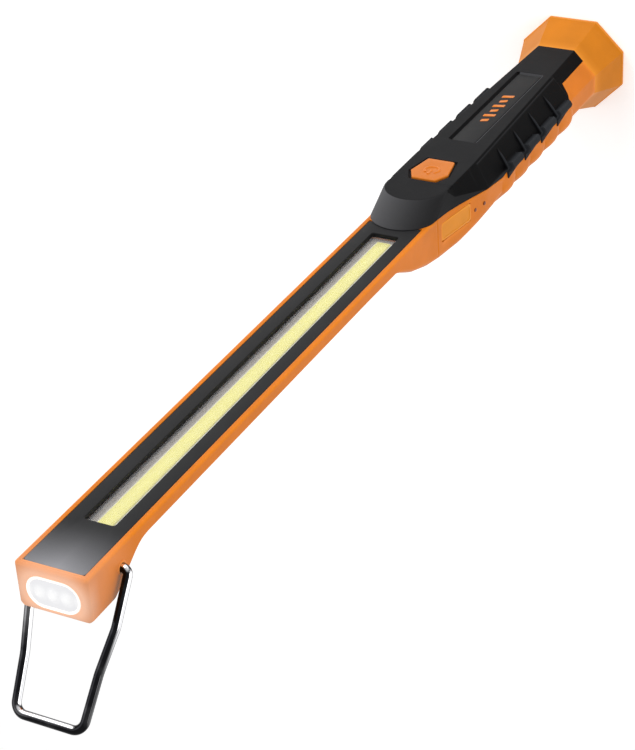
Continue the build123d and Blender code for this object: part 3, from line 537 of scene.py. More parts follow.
def housingRings():
    # x and y of eight corners per half, as functions of height; the outline is rounded at each of them
    h = housing
    z = np.unique(np.concatenate([
        np.linspace(24, 53, 12), np.linspace(53, 143, 150), np.linspace(143, 240, 90),
        np.linspace(240, 430, 8), np.linspace(198.5, 200.7, 13), np.linspace(430, 478.4, 50),
        478.5 + 1.5 * np.sin(np.linspace(0, np.pi / 2, 7)),
        [h["recessStart"] - 0.01, h["recessStart"], h["recessEnd"], h["recessEnd"] + 0.01,
         h["wellStart"], h["wellStart"] + 0.01, h["wellEnd"], h["wellEnd"] + 0.01]]))
    drawn = np.clip(z - (arm["end"] - h["endEdge"]), 0, h["endEdge"])
    inset = h["endEdge"] - np.sqrt(h["endEdge"] ** 2 - drawn ** 2)
    inset = inset + h["grooveDepth"] * np.exp(-((z - h["grooveAt"]) / 0.4) ** 2)
    onGrip, onArm = z < arm["noseEnd"], z < arm["headStart"]
    top = np.where(onGrip, border(z), arm["front"]) + inset
    lobe = lobes(z)
    wide = halfWidth(z) - inset
    side = np.maximum(top, grip["sideTop"])
    outer = np.where(onGrip, octagonX(z, top) - inset, wide)
    back = np.where(onArm, backBelly(z), backHead(z))
    low = np.where(onArm, sideLow(z), np.minimum(backHead(z) - 1.5, 9.6))
    inRecess = (z > h["recessStart"] - 0.005) & (z < h["recessEnd"] + 0.005)
    inWell = (z > h["wellStart"] + 0.005) & (z < h["wellEnd"] + 0.005)
    seat = top + np.where(inRecess, h["recessDepth"], 0)
    floor = np.where(inWell, arm["front"] + h["wellDepth"], seat)
    half = np.stack([
        points3(h["well"], floor, z), points3(h["well"], seat, z),
        points3(np.minimum(h["recess"], outer - 0.6), seat, z),
        points3(np.minimum(h["recess"], outer - 0.6), top, z),
        points3(outer, top, z), points3(wide, np.maximum(side, top + 0.3), z),
        points3(np.minimum(wide, lowWidth(z) - inset) + 0.75 * lobe, low + 0.65 * lobe - inset, z),
        points3(backHalf(z) + 0.4 * lobe - 0.6 * inset, back + 0.8 * lobe - inset, z)], 1)
    soft = np.clip((240 - z) / 60, 0, 1)
    edge = np.stack([np.full_like(z, 0.1), np.full_like(z, 0.1), np.full_like(z, 0.1), np.full_like(z, 0.2),
                     np.where(onGrip, 0.5, h["edge"]), np.where(onGrip, 1.2, 0.2),
                     1.2 + 2.6 * soft, 1.2 + 4.0 * soft], 1)
    rings = fillSides(roundCorners(both(half), np.concatenate([edge, edge[:, ::-1]], 1), 5), 5, 5)
    # stadium opening for the end lamp: each outline point slides towards the opening's axis
    last = rings[-1]
    dx, dy = last[:, 0], last[:, 1] - h["apertureY"]
    away = np.hypot(dx, dy)
    c, s = dx / away, dy / away
    reach = stadiumReach(c, s, h["apertureHigh"] / 2, (h["apertureWide"] - h["apertureHigh"]) / 2)
    rims = ((0.35, arm["end"]), (0.1, arm["end"] - 0.1), (0.0, arm["end"] - 0.35), (0.0, h["apertureFloor"]))
    opening = [points3(c * (reach + grow), s * (reach + grow) + h["apertureY"], height)
               for grow, height in rims]
    opening.append(points3(c * 0.01, s * 0.01 + h["apertureY"], h["apertureFloor"]))
    return np.concatenate([rings, np.array(opening)])


housingPiece = makeMesh("housingShell", housingRings(), orange, "orange_shell",
                        replaced=("lower_housing",), crease=40)
print("housing made")


# charging port: a pocket on the sloping -X side, and a narrower opening through its floor

port = {"start": 172.135, "end": 195.4, "middleY": 0.4, "middleZ": 183.75, "half": 4.3, "corner": 1.0,
        "proud": 0.28, "depth": 1.5, "gap": 0.3, "ledge": 1.2, "ledgeEnd": 3.2, "deep": 6.0,
        "sideEnd": 190.0, "sideEndHalf": 15.6}
sideSlope = (grip["half"] - port["sideEndHalf"]) / (port["sideEnd"] - grip["shoulder"])
slopeLong = math.hypot(1, sideSlope)


def portPlace(along, across, out):
    # point on the sloping -X side: along runs up the slope, across is +Y, out is away from the side
    middleX = sideSlope * (port["middleZ"] - grip["shoulder"]) - grip["half"]
    return points3(middleX + (along * sideSlope - out) / slopeLong, port["middleY"] + across,
                   port["middleZ"] + (along + out * sideSlope) / slopeLong)


portLong = (port["end"] - port["start"]) * slopeLong / 2


def portRow(inset, out, insetEnds=None):
    # the port's rounded outline drawn in by inset, moved out along the side's normal
    insetEnds = inset if insetEnds is None else insetEnds
    flat = rectRing(port["half"] - inset, insetEnds - portLong, portLong - insetEnds, port["corner"], 0)[0]
    return portPlace(flat[:, 2], flat[:, 0], out)


def screwHole(x, height, back):
    # sunk round hole that runs from behind the housing's back to the screw's head
    turn = np.linspace(0, 2 * np.pi, 48, endpoint=False)
    return np.array([points3(x + screws["radius"] * np.cos(turn), y, height + screws["radius"] * np.sin(turn))
                     for y in (back - screws["sink"] - screws["head"], back + 12)])


screws = {"places": ((8.0, 112.4, 16.5), (8.5, 204.2, 14.0)), "radius": 2.65, "sink": 3.0, "head": 1.8}
pocket = np.array([portRow(-port["gap"], 2.0), portRow(-port["gap"], -port["depth"] - 0.1)])
mouth = np.array([portRow(port["ledge"], 0), portRow(port["ledge"], -port["deep"], port["ledgeEnd"])])
carve(housingPiece, [pocket, mouth]
      + [screwHole(side * x, z, back) for x, z, back in screws["places"] for side in (-1, 1)], 40)
print("port and screw holes cut")


# black shell: top face with label recess and button pocket, facets, nose

shell = {
    "faceEdge": 0.9, "facetEdge": 0.7, "seatHalf": 7.0, "seatStart": 57.0, "seatEnd": 139.0,
    "seatCorner": 1.6, "seatDepth": 0.95, "wallWide": 1.3, "pocketMargin": 1.2, "pocketDepth": 0.95,
    "rearEnd": 60.0, "skinInset": 0.5, "noseStart": 187.0, "noseHalf": 14.4, "noseTip": 201.6,
    "footStart": 201.5, "footHalf": 14.8, "footTip": 215.0,
}
button = {"rear": 161.0, "waist": 174.3, "front": 180.8, "rearHalf": 6.4, "waistHalf": 8.9, "frontHalf": 5.6}


def hexHalf(z, margin):
    # half width of the button's outline grown by margin; zero outside it
    b = button
    grown = np.interp(
        z, [b["rear"] - margin, b["waist"], b["front"] + margin],
        [b["rearHalf"] + margin * 0.9, b["waistHalf"] + margin * 1.05, b["frontHalf"] + margin * 0.75])
    return np.where((z >= b["rear"] - margin) & (z <= b["front"] + margin), grown, 0)


def seatHalf(z):
    # half width of the label's seat, with round corners
    h = shell
    corner = h["seatCorner"]
    into = np.clip(corner - np.minimum(z - h["seatStart"], h["seatEnd"] - z), 0, corner)
    return h["seatHalf"] - corner + np.sqrt(corner ** 2 - into ** 2)


def shellRings():
    # half of the shell as lines from the centre of the top face, over the face's edge and the facet's
    # edge, down to the border and back in; the lines run across the grip, then fan round the nose
    h = shell
    seatEnds = [h["seatStart"], h["seatStart"] + h["wallWide"], h["seatEnd"] - h["wallWide"], h["seatEnd"]]
    pocket = [button["rear"] - h["pocketMargin"], button["front"] + h["pocketMargin"]]
    along = np.unique(np.concatenate([
        np.linspace(24, 53, 20), np.linspace(53, 61, 24), np.linspace(61, 135, 60),
        np.linspace(135, 186.5, 90), seatEnds, np.linspace(h["seatStart"], h["seatStart"] + 2.4, 12),
        np.linspace(h["seatEnd"] - 2.4, h["seatEnd"], 12),
        [p + d for p in pocket for d in (-0.3, -0.02, 0.02, 0.3)]]))
    overSeat = (along >= h["seatStart"]) & (along <= h["seatEnd"])
    depth = np.where(overSeat, h["seatDepth"] * np.clip(
        np.minimum(along - h["seatStart"], h["seatEnd"] - along) / h["wallWide"], 0, 1), 0)
    inPocket = (along > pocket[0]) & (along < pocket[1])
    depth = np.where(inPocket, h["pocketDepth"] * np.clip(np.minimum(along - pocket[0], pocket[1] - along)
                                                          / 0.3, 0, 1), depth)
    dip = np.where(overSeat, seatHalf(along), 4.0)
    dip = np.where(inPocket, hexHalf(along, h["pocketMargin"]), dip)
    wall = np.where(inPocket, 0.3, h["wallWide"])
    top = points3(faceHalf(along), grip["front"], along)
    # the facet's lower edge climbs to the face's edge where the grip narrows
    midY = bend([(24, -4.6), (158, -4.6), (182.5, -11.2), (186.3, -14.9), (190, -15.2)], 3)(along)
    midX = bend([(24, 20.5), (158, 20.5), (182.5, 15.8), (186.3, 14.6), (190, 14.5)], 5)(along)
    lowZ = along + 14.8 * np.clip((along - 160) / 26.5, 0, 1) ** 1.7
    lowY = border(lowZ) - 0.12
    lowX = octagonX(lowZ, lowY)
    lowX = np.where(lowZ > 160, halfWidth(lowZ) - 0.05, lowX)
    underSkin = np.where((along > h["rearEnd"]) & (along < 135), h["skinInset"], 0)
    lowX = lowX - underSkin
    rearY = np.minimum(lowY - 0.3, grip["sideTop"])
    midX = np.where(along < h["rearEnd"], octagonX(along, rearY), midX - underSkin)
    midY = np.where(along < h["rearEnd"], rearY, midY)
    centre = points3(0, grip["front"] + depth, along)
    grid = np.stack([
        centre, points3(dip - wall, grip["front"] + depth, along), points3(dip, grip["front"], along),
        top, points3(midX, midY, along), points3(lowX, lowY, lowZ),
        points3(lowX - 2.5, lowY, lowZ), points3(0, lowY, lowZ)], 1)
    # nose: arcs at the top face and at the arm's face, ruled between
    turn = np.linspace(0, np.pi / 2, 40)
    across, ahead = np.cos(turn), np.sin(turn)
    noseTop = points3(h["noseHalf"] * across, grip["front"],
                      h["noseStart"] + (h["noseTip"] - h["noseStart"]) * ahead)
    foot = points3(h["footHalf"] * across, arm["front"] + 0.05,
                   h["footStart"] + (h["footTip"] - h["footStart"]) * ahead)
    centre = points3(0 * turn, grip["front"], h["noseStart"])
    nose = np.stack([
        centre, centre + 0.27 * (noseTop - centre), centre + 0.28 * (noseTop - centre), noseTop,
        noseTop + 0.15 * (foot - noseTop), foot,
        points3(0.84 * foot[:, 0], foot[:, 1], foot[:, 2] - 1.5 * ahead),
        points3(0 * turn, foot[:, 1], h["footStart"])], 1)
    grid = np.concatenate([grid, nose])
    radii = np.array([0, 0.15, 0.25, h["faceEdge"], h["facetEdge"], 0.35, 0.1, 0])[None]
    radii = np.repeat(radii, len(grid), 0)
    radii[len(along):, 3] = 2.2
    radii[len(along) - 12:len(along), 3] = np.linspace(h["faceEdge"], 2.2, 12)
    # tone 1 on the top face, 2 on the nose's wall for its painted sheen, 0 on the facet between its two edges
    tone = np.ones((len(grid), 8, 6))
    tone[len(along):, 3, 3:], tone[len(along):, 4:6] = 2, 2
    # and -1 on the walls of the label's seat, for their painted light and shade
    inSeat = np.flatnonzero((along > h["seatStart"] + 0.01) & (along < h["seatEnd"] - 0.01))
    tone[inSeat, 1, 1:], tone[inSeat, 2, :5] = -1, -1
    slopes = inSeat[depth[inSeat] < h["seatDepth"] - 0.01]
    tone[slopes, :2] = -1
    tone[:len(along), 3, 3:], tone[:len(along), 4, :3] = 0, 0
    tone[:len(along), 4, 3:] = tone[:len(along), 5] = np.clip((along - 157) / 4, 0, 1)[:, None]
    return roundCorners(grid, radii, 6, closed=False), tone.reshape(len(grid), -1)


rings, tone = shellRings()
makeMesh("shellTop", rings, blackShell, "black_shell", replaced=("handle_shell",), loop=False, ends="open",
         mirror=True, crease=36, tone=tone)
print("shell made")


# rubber skins: ribs across the facets that run out into thick shingled pads along the side

skin = {
    "start": 56.0, "end": 157.0, "seam": 0.3, "lift": 0.05, "root": -0.9, "ribFrom": 3.8, "ribWidth": 0.9,
    "ribHeight": 0.95, "padUp": 2.4, "padHeights": (2.4, 2.8, 3.1, 3.4), "padLow": 1.0,
    "padBacks": (15.0, 14.2, 13.4, 12.6), "wall": 0.5, "slant": 2.8, "tipAhead": 0.8, "tipDrop": 0.5,
    "rearTip": 61.5, "scallopTop": -2.3, "bend": 0.8, "rim": 0.6,
}


def skinBorder(z):
    # lower edge: scallops that fall to a tip ahead of each rib, y = top + (tip - top) t^1.6
    s = skin
    tips = np.array((s["rearTip"],) + tuple(r + s["tipAhead"] for r in grip["ribs"]))
    which = np.clip(np.searchsorted(tips, z) - 1, 0, len(tips) - 2)
    t = np.clip((z - tips[which]) / (tips[which + 1] - tips[which]), 0, 1)
    scallop = s["scallopTop"] + (s["tipDrop"] - s["scallopTop"]) * np.where(t < 0.97, t ** 1.6, 1)
    back = np.where(z < tips[0], border(z) + 0.15, scallop)
    return np.where(z > tips[-1], np.maximum(border(z) - 0.05, grip["sideTop"]), back)


def skinRings():
    # the facet and the side are one strip, at each height a bent line whose points are pushed out along
    # their own normals by lift + ribs + pads
    s = skin
    z = np.unique(np.concatenate([np.linspace(s["start"], s["end"], 400),
                                  [r + d for r in grip["ribs"] for d in (-0.5, -0.35, -0.2, -0.05, 0.1)],
                                  [r + s["tipAhead"] + d for r in grip["ribs"] for d in (-0.05, 0.05)]]))
    low = skinBorder(z)
    topX, midX = faceHalf(z), np.full_like(z, grip["half"])
    facetLength = np.hypot(midX - topX, grip["sideTop"] - grip["front"])
    facetX, facetY = (midX - topX) / facetLength, (grip["sideTop"] - grip["front"]) / facetLength
    a = np.linspace(0, 1, 26) ** 0.85
    facet = s["seam"] + a[None] * (facetLength[:, None] - s["seam"] - 0.01)
    x1, y1 = topX[:, None] + facet * facetX[:, None], grip["front"] + facet * facetY[:, None]
    b = np.linspace(0.02, 1, 22)
    y2 = grip["sideTop"] + b[None] * np.maximum(low - grip["sideTop"], 0.02)[:, None]
    x2 = np.broadcast_to(midX[:, None], y2.shape)
    x, y = np.concatenate([x1, x2], 1), np.concatenate([y1, y2], 1)
    fromEdge = np.concatenate([facet, facetLength[:, None] + (y2 - grip["sideTop"])], 1)
    bendShare = np.clip((fromEdge - facetLength[:, None] + s["bend"]) / (2 * s["bend"]), 0, 1)
    nx = facetY[:, None] * (1 - bendShare) + bendShare
    ny = -facetX[:, None] * (1 - bendShare)
    size = np.hypot(nx, ny)
    nx, ny = nx / size, ny / size
    onSide = np.clip((y - grip["sideTop"] - 0.2) / 0.6, 0, 1)
    height, tone = np.full(x.shape, s["lift"]), onSide
    onPad = np.clip((fromEdge - facetLength[:, None] + s["padUp"]) / 1.0, 0, 1)
    down = np.clip((y - grip["sideTop"] - 0.3) / 1.6, 0, 1)
    grow = np.clip((fromEdge - s["ribFrom"]) / 5.0, 0, 1) ** 0.6
    for rib, padBack, padHeight in zip(grip["ribs"], s["padBacks"], s["padHeights"]):
        slide = s["slant"] * np.clip((y - grip["sideTop"]) / grip["sideLow"], 0, 1.3)
        dist = z[:, None] - rib - slide
        ridge = np.clip(1.5 - 1.5 * np.abs(dist) / s["ribWidth"], 0, 1) * grow * (1 - down)
        pad = np.clip(-dist / s["wall"], 0, 1) * np.clip((dist + padBack) / 0.8, 0, 1) * onPad
        full = padHeight - (padHeight - s["padLow"]) * down
        height = np.maximum(height, s["lift"] + np.maximum(ridge * s["ribHeight"], pad * full))
        # ribs and pads take the lighter tone; on the ribs it is a painted highlight along their tops
        tone = np.maximum(tone, np.maximum(np.clip(pad * 2.5, 0, 1), np.clip(ridge * 2 - 0.4, 0, 1)))
    # all four borders roll down to the root
    rim = np.minimum(np.minimum(z - s["start"], s["end"] - z)[:, None], s["rim"]) / s["rim"]
    rim = np.minimum(rim, np.clip(np.minimum((fromEdge - s["seam"]) / 0.5, 1), 0, 1))
    rim = np.minimum(rim, np.clip((low[:, None] - y) / 0.35 * np.where(y > grip["sideTop"], 1, 9), 0, 1))
    height = s["root"] + (height - s["root"]) * np.sqrt(np.clip(1 - (1 - rim) ** 2, 0, 1))
    outer = np.stack([x + nx * height, y + ny * height, np.broadcast_to(z[:, None], x.shape)], -1)
    inner = np.stack([x + nx * s["root"], y + ny * s["root"], np.broadcast_to(z[:, None], x.shape)], -1)
    back = slice(-2, 0, -1)
    return np.concatenate([outer, inner[:, back]], 1), np.concatenate([tone, tone[:, back]], 1)


rings, tone = skinRings()
for side, turned in (("Right", 1.0), ("Left", -1.0)):
    makeMesh("gripSkin" + side, rings * np.array([turned, 1.0, 1.0]), blackRubber, "black_rubber",
             replaced=("grip_skin_" + side.lower(),), crease=30, tone=tone)
print("skins made")


# foot cap: octagonal rim, flare, underside seat for pad and magnet

foot = {"wide": 53.0, "deep": 45.6, "corner": 14.2, "rim": 2.4, "edge": 0.45, "padBorder": 2.9,
        "padDepth": 1.0, "magnet": 16.1, "magnetDepth": 8.5}


def octagonRing(wide, deep, corner, z):
    # octagon round the centre line: half outline of four corners, mirrored and rounded
    half = points3([wide / 2 - corner, wide / 2, wide / 2, wide / 2 - corner],
                   [-deep / 2, corner - deep / 2, deep / 2 - corner, deep / 2], z)[None]
    return roundCorners(both(half), 0.8, 7)[0]


def capRings():
    # rings from the middle of the magnet's seat, out over the underside, up the rim and in along the flare
    f = foot
    outer = lambda z, grow: octagonRing(f["wide"] + 2 * grow, f["deep"] + 2 * grow,
                                        f["corner"] + grow * 0.83, z)
    inner = lambda z: octagonRing(f["wide"] - 2 * f["padBorder"], f["deep"] - 2 * f["padBorder"],
                                  f["corner"] - f["padBorder"] * 1.17, z)
    rim = outer(0, 0)
    angle = np.arctan2(rim[:, 1], rim[:, 0])
    circle = lambda radius, z: points3(radius * np.cos(angle), radius * np.sin(angle), z)
    g = grip
    topHalf = points3([g["faceRear"], g["half"], g["half"], g["backHalf"]],
                      [g["front"], g["sideTop"], g["sideLow"], g["back"]], g["rear"])[None]
    top = roundCorners(both(topHalf), 0.8, 7)[0]
    flare = outer(f["rim"] + 0.15, -0.35)
    share = np.linspace(0, 1, 9)[:, None, None]
    slope = flare[None] * (1 - share) + top[None] * share
    rows = [circle(0.01, f["magnetDepth"]), circle(f["magnet"], f["magnetDepth"]),
            circle(f["magnet"], f["padDepth"]), inner(f["padDepth"]), inner(0.3),
            outer(0, -f["padBorder"] + 0.3), outer(0, -f["edge"]),
            outer(0.13, -0.13), outer(f["edge"], 0), outer(f["rim"] - 0.45, 0), outer(f["rim"] - 0.12, -0.1)]
    tail = top + np.array([0, 0, 0.6])
    return np.array(rows + list(slope) + [tail * np.array([0.9, 0.9, 1]), tail * np.array([0.001, 0.001, 1])])


makeMesh("footCap", capRings(), capOrange, "orange_cap", replaced=("foot_cap",), crease=24)
print("foot made")


# arm face: satin black frame round the lamp's slot

panel = {"half": 12.45, "low": 209.8, "high": 477.65, "corner": 1.6, "sunk": 0.12, "edge": 0.3,
         "slotHalf": 6.4, "slotLow": 219.5, "slotHigh": 449.0, "slotCorner": 1.1, "windowFront": -5.62,
         "skirt": 7.2, "skirtLow": 218.65, "skirtHigh": 449.85}


def panelRings():
    # closed ring section: seat, outer edge, face, slot edge, slot wall, skirt
    p = panel
    face = arm["front"] + p["sunk"]
    seat = arm["front"] + housing["recessDepth"] - 0.03
    quarter = np.linspace(0, np.pi / 2, 5)
    rows = [rectRing(p["half"], p["low"], p["high"], p["corner"], seat)]
    rows += rolledEdge(p["half"], p["low"], p["high"], p["corner"], face, p["edge"], quarter)
    rows += rolledEdge(p["slotHalf"], p["slotLow"], p["slotHigh"], p["slotCorner"], face, p["edge"],
                       quarter[::-1], 1)
    rows += [rectRing(p["slotHalf"], p["slotLow"], p["slotHigh"], p["slotCorner"], p["windowFront"]),
             rectRing(p["skirt"], p["skirtLow"], p["skirtHigh"], 0.3, p["windowFront"]),
             rectRing(p["skirt"], p["skirtLow"], p["skirtHigh"], 0.3, seat)]
    return np.concatenate(rows)


makeMesh("armFace", panelRings(), blackFace, "black_face", replaced=("arm_panel",), ends="ring", crease=30)


# long lamp: stepped trough and glowing strip

strip = {"half": 3.2, "low": 221.2, "high": 447.3, "top": -4.68, "floor": -4.12}


def troughRings():
    # closed ring section that falls in two steps from the slot's wall to the strip
    s = strip
    rows = []
    for half, y in ((7.2, -4.12), (7.2, -4.79), (5.9, -4.79), (5.75, -4.7), (5.7, -4.62), (5.45, -4.5),
                    (3.98, -4.3), (3.72, -4.28), (3.7, -4.12)):
        grow = half - 3.7
        long = min(grow, 1.9 + (half - 5.5) * 0.4) if half > 5.5 else grow * 1.05
        rows.append(rectRing(half, s["low"] - 0.5 - long * 0.45, s["high"] + 0.5 + long * 0.45, 0.4, y))
    return np.concatenate(rows)


def slabRings(half, low, high, corner, front, back, edge):
    # plate of rounded outline whose front edge is rounded by `edge`; both faces closed by a fan
    quarter = np.linspace(0, np.pi / 2, 4)
    return np.concatenate([rectRing(half, low, high, corner, back)]
                          + rolledEdge(half, low, high, corner, front, edge, quarter))


# painted light and shade on one reflector moulding: lighter on the lip next to the strip, darker on its
# slope, and near black on the outer step and wall as a painted shadow of the slot's wall
trough = moulded("reflectorSkin", screen(*finishes["troughShaded"]), 0.32, grain=900.0, shift=0.1)
tone = trough.tone()
lit = trough.mix(tone.clamp(), screen(*finishes["troughShaded"]), screen(*finishes["troughLit"]))
trough.set(Base_Color=trough.mix((tone * -1.0).clamp(), lit, screen(*finishes["ledge"])))
makeMesh("slotTrough", troughRings(), trough.material, "reflector_beige", replaced=("strip_reflector",),
         ends="ring", crease=12, tone=np.array([-1, -1, -0.9, -0.3, 0, 0, 0.1, 0.9, 1.0])[:, None])

glow = Shader("stripGlow", Roughness=0.35, Emission_Strength=0.2)
gx = glow.axes()[0]
speck = glow.noise(1500.0, 4.0, 0.7)
hot = (1.0 - abs(gx) / 0.0042).clamp()
glow.set(Base_Color=glow.mix(speck.over(0.5, 0.5), screen(194, 186, 62), screen(208, 200, 84)),
         Emission_Color=glow.mix(hot * (0.75 + speck * 0.5), screen(224, 214, 76), screen(246, 240, 128)),
         Normal=glow.bump(speck, 0.4, 0.0001))
s = strip
makeMesh("stripGlow", slabRings(s["half"], s["low"], s["high"], 0.5, s["top"], s["floor"], 0.35),
         glow.material, "phosphor", replaced=("phosphor_strip",), crease=60)


# label plate with a generic mark of slanted bars

labelPlate = {"half": 5.65, "low": 58.4, "high": 137.6, "corner": 0.8, "front": -15.6, "back": -15.2,
              "bars": 6, "barStart": 83.0, "barPitch": 5.6, "barLong": 2.5, "barHalf": 2.7, "lean": 1.6}


def markRings(start, long, low, high, lean, front, back):
    # parallelogram bar across the plate
    heights = [start + lean, start + long + lean, start + long, start]
    corners = points3([high, high, low, low], 0, heights)[None]
    rows = []
    for y, inset in ((back, 0), (front + 0.08, 0), (front, 0.08)):
        ring = roundCorners(corners, 0.3, 4)[0]
        middle = ring.mean(0)
        ring = middle + (ring - middle) * (1 - inset / 2)
        ring[:, 1] = y
        rows.append(ring)
    return np.array(rows)


q = labelPlate
makeMesh("labelPlate", slabRings(q["half"], q["low"], q["high"], q["corner"], q["front"], q["back"], 0.12),
         labelBlack, "label_black", replaced=("label_plate",), crease=50)
for index in range(q["bars"]):
    length = q["barHalf"] * (1 if index % 2 == 0 else 0.62)
    bar = markRings(q["barStart"] + index * q["barPitch"], q["barLong"], -length, length, q["lean"],
                    q["front"] - 0.1, q["front"] + 0.05)
    makeMesh(f"markBar{index}", bar, buttonOrange, "button_orange", crease=50)


# power button: hexagonal cap with a raised ring and bar

buttonCap = {"front": -16.75, "skirt": -14.9, "edge": 0.55, "dish": 0.18, "ring": 3.3, "line": 0.62,
             "flat": 0.55, "sunk": 0.12, "centre": 171.6}


def hexRing(inset, y):
    b = button
    half = points3(
        [b["rearHalf"] - inset * 0.8, b["waistHalf"] - inset * 1.05, b["frontHalf"] - inset * 0.7], y,
        [b["rear"] + inset, b["waist"], b["front"] - inset])[None]
    return roundCorners(both(half), 0.9, 7)[0]


def capTopRings():
    # hexagon carried up its skirt, rolled over the edge, then faintly dished to the middle
    c = buttonCap
    rows = [hexRing(0.0, c["skirt"]), hexRing(0.0, c["front"] + c["edge"])]
    for turn in np.linspace(0.3, np.pi / 2, 5):
        rows.append(hexRing(c["edge"] * (1 - math.cos(turn)), c["front"] + c["edge"] * (1 - math.sin(turn))))
    for share in (0.35, 0.7, 1.0):
        row = hexRing(c["edge"], c["front"] + c["dish"] * math.sin(share * np.pi / 2))
        middle = np.array([0, row[0, 1], c["centre"]])
        rows.append(middle + (row - middle) * max(1 - share, 0.02))
    return np.array(rows)


def lowLine(path):
    # raised line: a tube flattened towards the cap
    rings = tubeRings(path, buttonCap["line"], 12, (0, 1, 0))
    rings[..., 1] = path[0, 1] + (rings[..., 1] - path[0, 1]) * buttonCap["flat"]
    return rings


c = buttonCap
makeMesh("buttonCap", capTopRings(), buttonOrange, "button_orange", body="button",
         replaced=("power_button",), crease=40)
turn = np.radians(np.linspace(38, 322, 60))
lineY = c["front"] + c["sunk"]
ringPath = points3(c["ring"] * np.sin(turn), lineY, c["centre"] + c["ring"] * np.cos(turn))
barPath = points3(0, lineY, c["centre"] + np.linspace(0.4, 4.4, 12))
for name, path in (("buttonRing", ringPath), ("buttonBar", barPath)):
    makeMesh(name, lowLine(path), buttonOrange, "button_orange", body="button")
print("button made")


# charging port cover and light pipes

def coverRings():
    # lid with a rolled edge and a shallow sunk panel
    p, panelOut = port, port["proud"] - 0.18
    return np.array([portRow(inset, out) for inset, out in (
        (0, -p["depth"]), (0, p["proud"] - 0.3), (0.09, p["proud"] - 0.09), (0.3, p["proud"]),
        (0.9, p["proud"]), (1.05, panelOut), (2.5, panelOut), (4.2, panelOut))])


makeMesh("portCover", coverRings(), coverOrange, "cover_orange", body="port_flap",
         replaced=("port_cover",), crease=40)
pipes = {"heights": (160.5, 168.0), "across": 1.0,
         "dome": ((0.9, -2.0), (0.9, 0.1), (0.75, 0.22), (0.4, 0.28), (0.01, 0.3))}


def pipeTips(height):
    # low dome over the end of a light pipe: circles on the side's plane, closing at the top
    turn = np.linspace(0, 2 * np.pi, 32, endpoint=False)
    along = (height - port["middleZ"]) * slopeLong
    return np.array([portPlace(along + r * np.cos(turn), pipes["across"] + r * np.sin(turn), out)
                     for r, out in pipes["dome"]])


for index, height in enumerate(pipes["heights"]):
    makeMesh(f"pipeTip{index}", pipeTips(height), pipeBrown, "light_pipe", crease=50)
print("port made")


# hook: chromed wire bail

hook = {"pivotY": 0.6, "pivotZ": 459.3, "rest": 54.5, "wire": 1.75,
        "corners": ((8.8, 0), (17.7, 0), (17.7, 20.5), (15.2, 37), (13.9, 58)),
        "radii": (2.4, 14.0, 24.0, 4.5), "legLeft": -13.95, "legRight": 14.0,
        "collar": ((11.9, 1.83), (15.0, 1.83), (15.08, 1.95), (15.12, 2.2), (15.08, 2.5), (14.95, 2.65),
                   (11.9, 2.65)),
        "reflectionStreaks": ((-0.951, -0.286, 0.128), (-0.199, -0.944, 0.268)), "streakEdge": 0.88}


def hookPath():
    # half the bail in its own plane (x across, s along), turned about the pivot by the rest angle
    h = hook
    angle = math.radians(h["rest"])
    flat = list(h["corners"]) + [(-x, s) for x, s in reversed(h["corners"])]
    placed = [(x, h["pivotY"] + s * math.sin(angle), h["pivotZ"] + s * math.cos(angle)) for x, s in flat]
    return roundedPath(placed, h["radii"] + h["radii"][::-1])


restAngle = math.radians(hook["rest"])
wirePath = hookPath()
wireRings = tubeRings(wirePath, hook["wire"], 32, (0, -math.cos(restAngle), math.sin(restAngle)))
outward = (wireRings - wirePath[:, None]) / hook["wire"]
alongLeg = ((wirePath[:, 1] - hook["pivotY"]) * math.sin(restAngle)
            + (wirePath[:, 2] - hook["pivotZ"]) * math.cos(restAngle))
# painted reflections: bright streaks where the wire's surface faces the two listed directions, faded along
# the -X leg away from the pivot, and a grey sheen on the +X leg near the pivot
reflectionStreaks = np.max([outward @ np.array(way) for way in hook["reflectionStreaks"]], axis=0)
reflectionStreaks = np.clip((reflectionStreaks - hook["streakEdge"]) / 0.07, 0, 1)
fade = np.where(wirePath[:, 0] < hook["legLeft"], np.clip((36 - alongLeg) / 12, 0.12, 1), 1)
greySheen = np.where(wirePath[:, 0] > hook["legRight"], 0.5 * np.clip((26 - alongLeg) / 16, 0, 1), 0)
makeMesh("hookWire", wireRings, chrome, "chrome_wire", body="hook", replaced=("hook",), crease=60,
         tone=np.maximum(reflectionStreaks * fade[:, None], greySheen[:, None]))


def collarRings(side):
    # washer-like collar round the wire: circles of changing radius along x
    turn = np.linspace(0, 2 * np.pi, 40, endpoint=False)
    return np.array([points3(side * x, hook["pivotY"] + radius * np.cos(turn),
                             hook["pivotZ"] + radius * np.sin(turn)) for x, radius in hook["collar"]])


for side, name in ((-1, "hookCollarLeft"), (1, "hookCollarRight")):
    makeMesh(name, collarRings(side), orange, "bush_plastic", replaced=("hook_bushes",) if side < 0 else (),
             ends="ring", crease=50)
print("hook made")


# end lamp: gasket lip and clear lens with three small optics, lit

lens = {"wide": 20.3, "high": 11.3, "y": 2.6, "back": 478.45, "front": 479.95, "dome": 0.35, "lip": 0.3,
        "optics": (-5.4, 0, 5.4), "opticRadius": 2.3, "opticRise": 0.5}


def stadiumRing(wide, high, grow, z):
    # stadium by direction from its centre, grown outwards by `grow`
    turn = np.linspace(0, 2 * np.pi, 96, endpoint=False)
    c, s = np.cos(turn), np.sin(turn)
    reach = stadiumReach(c, s, high / 2 + grow, (wide - high) / 2)
    return points3(c * reach, lens["y"] + s * reach, z)


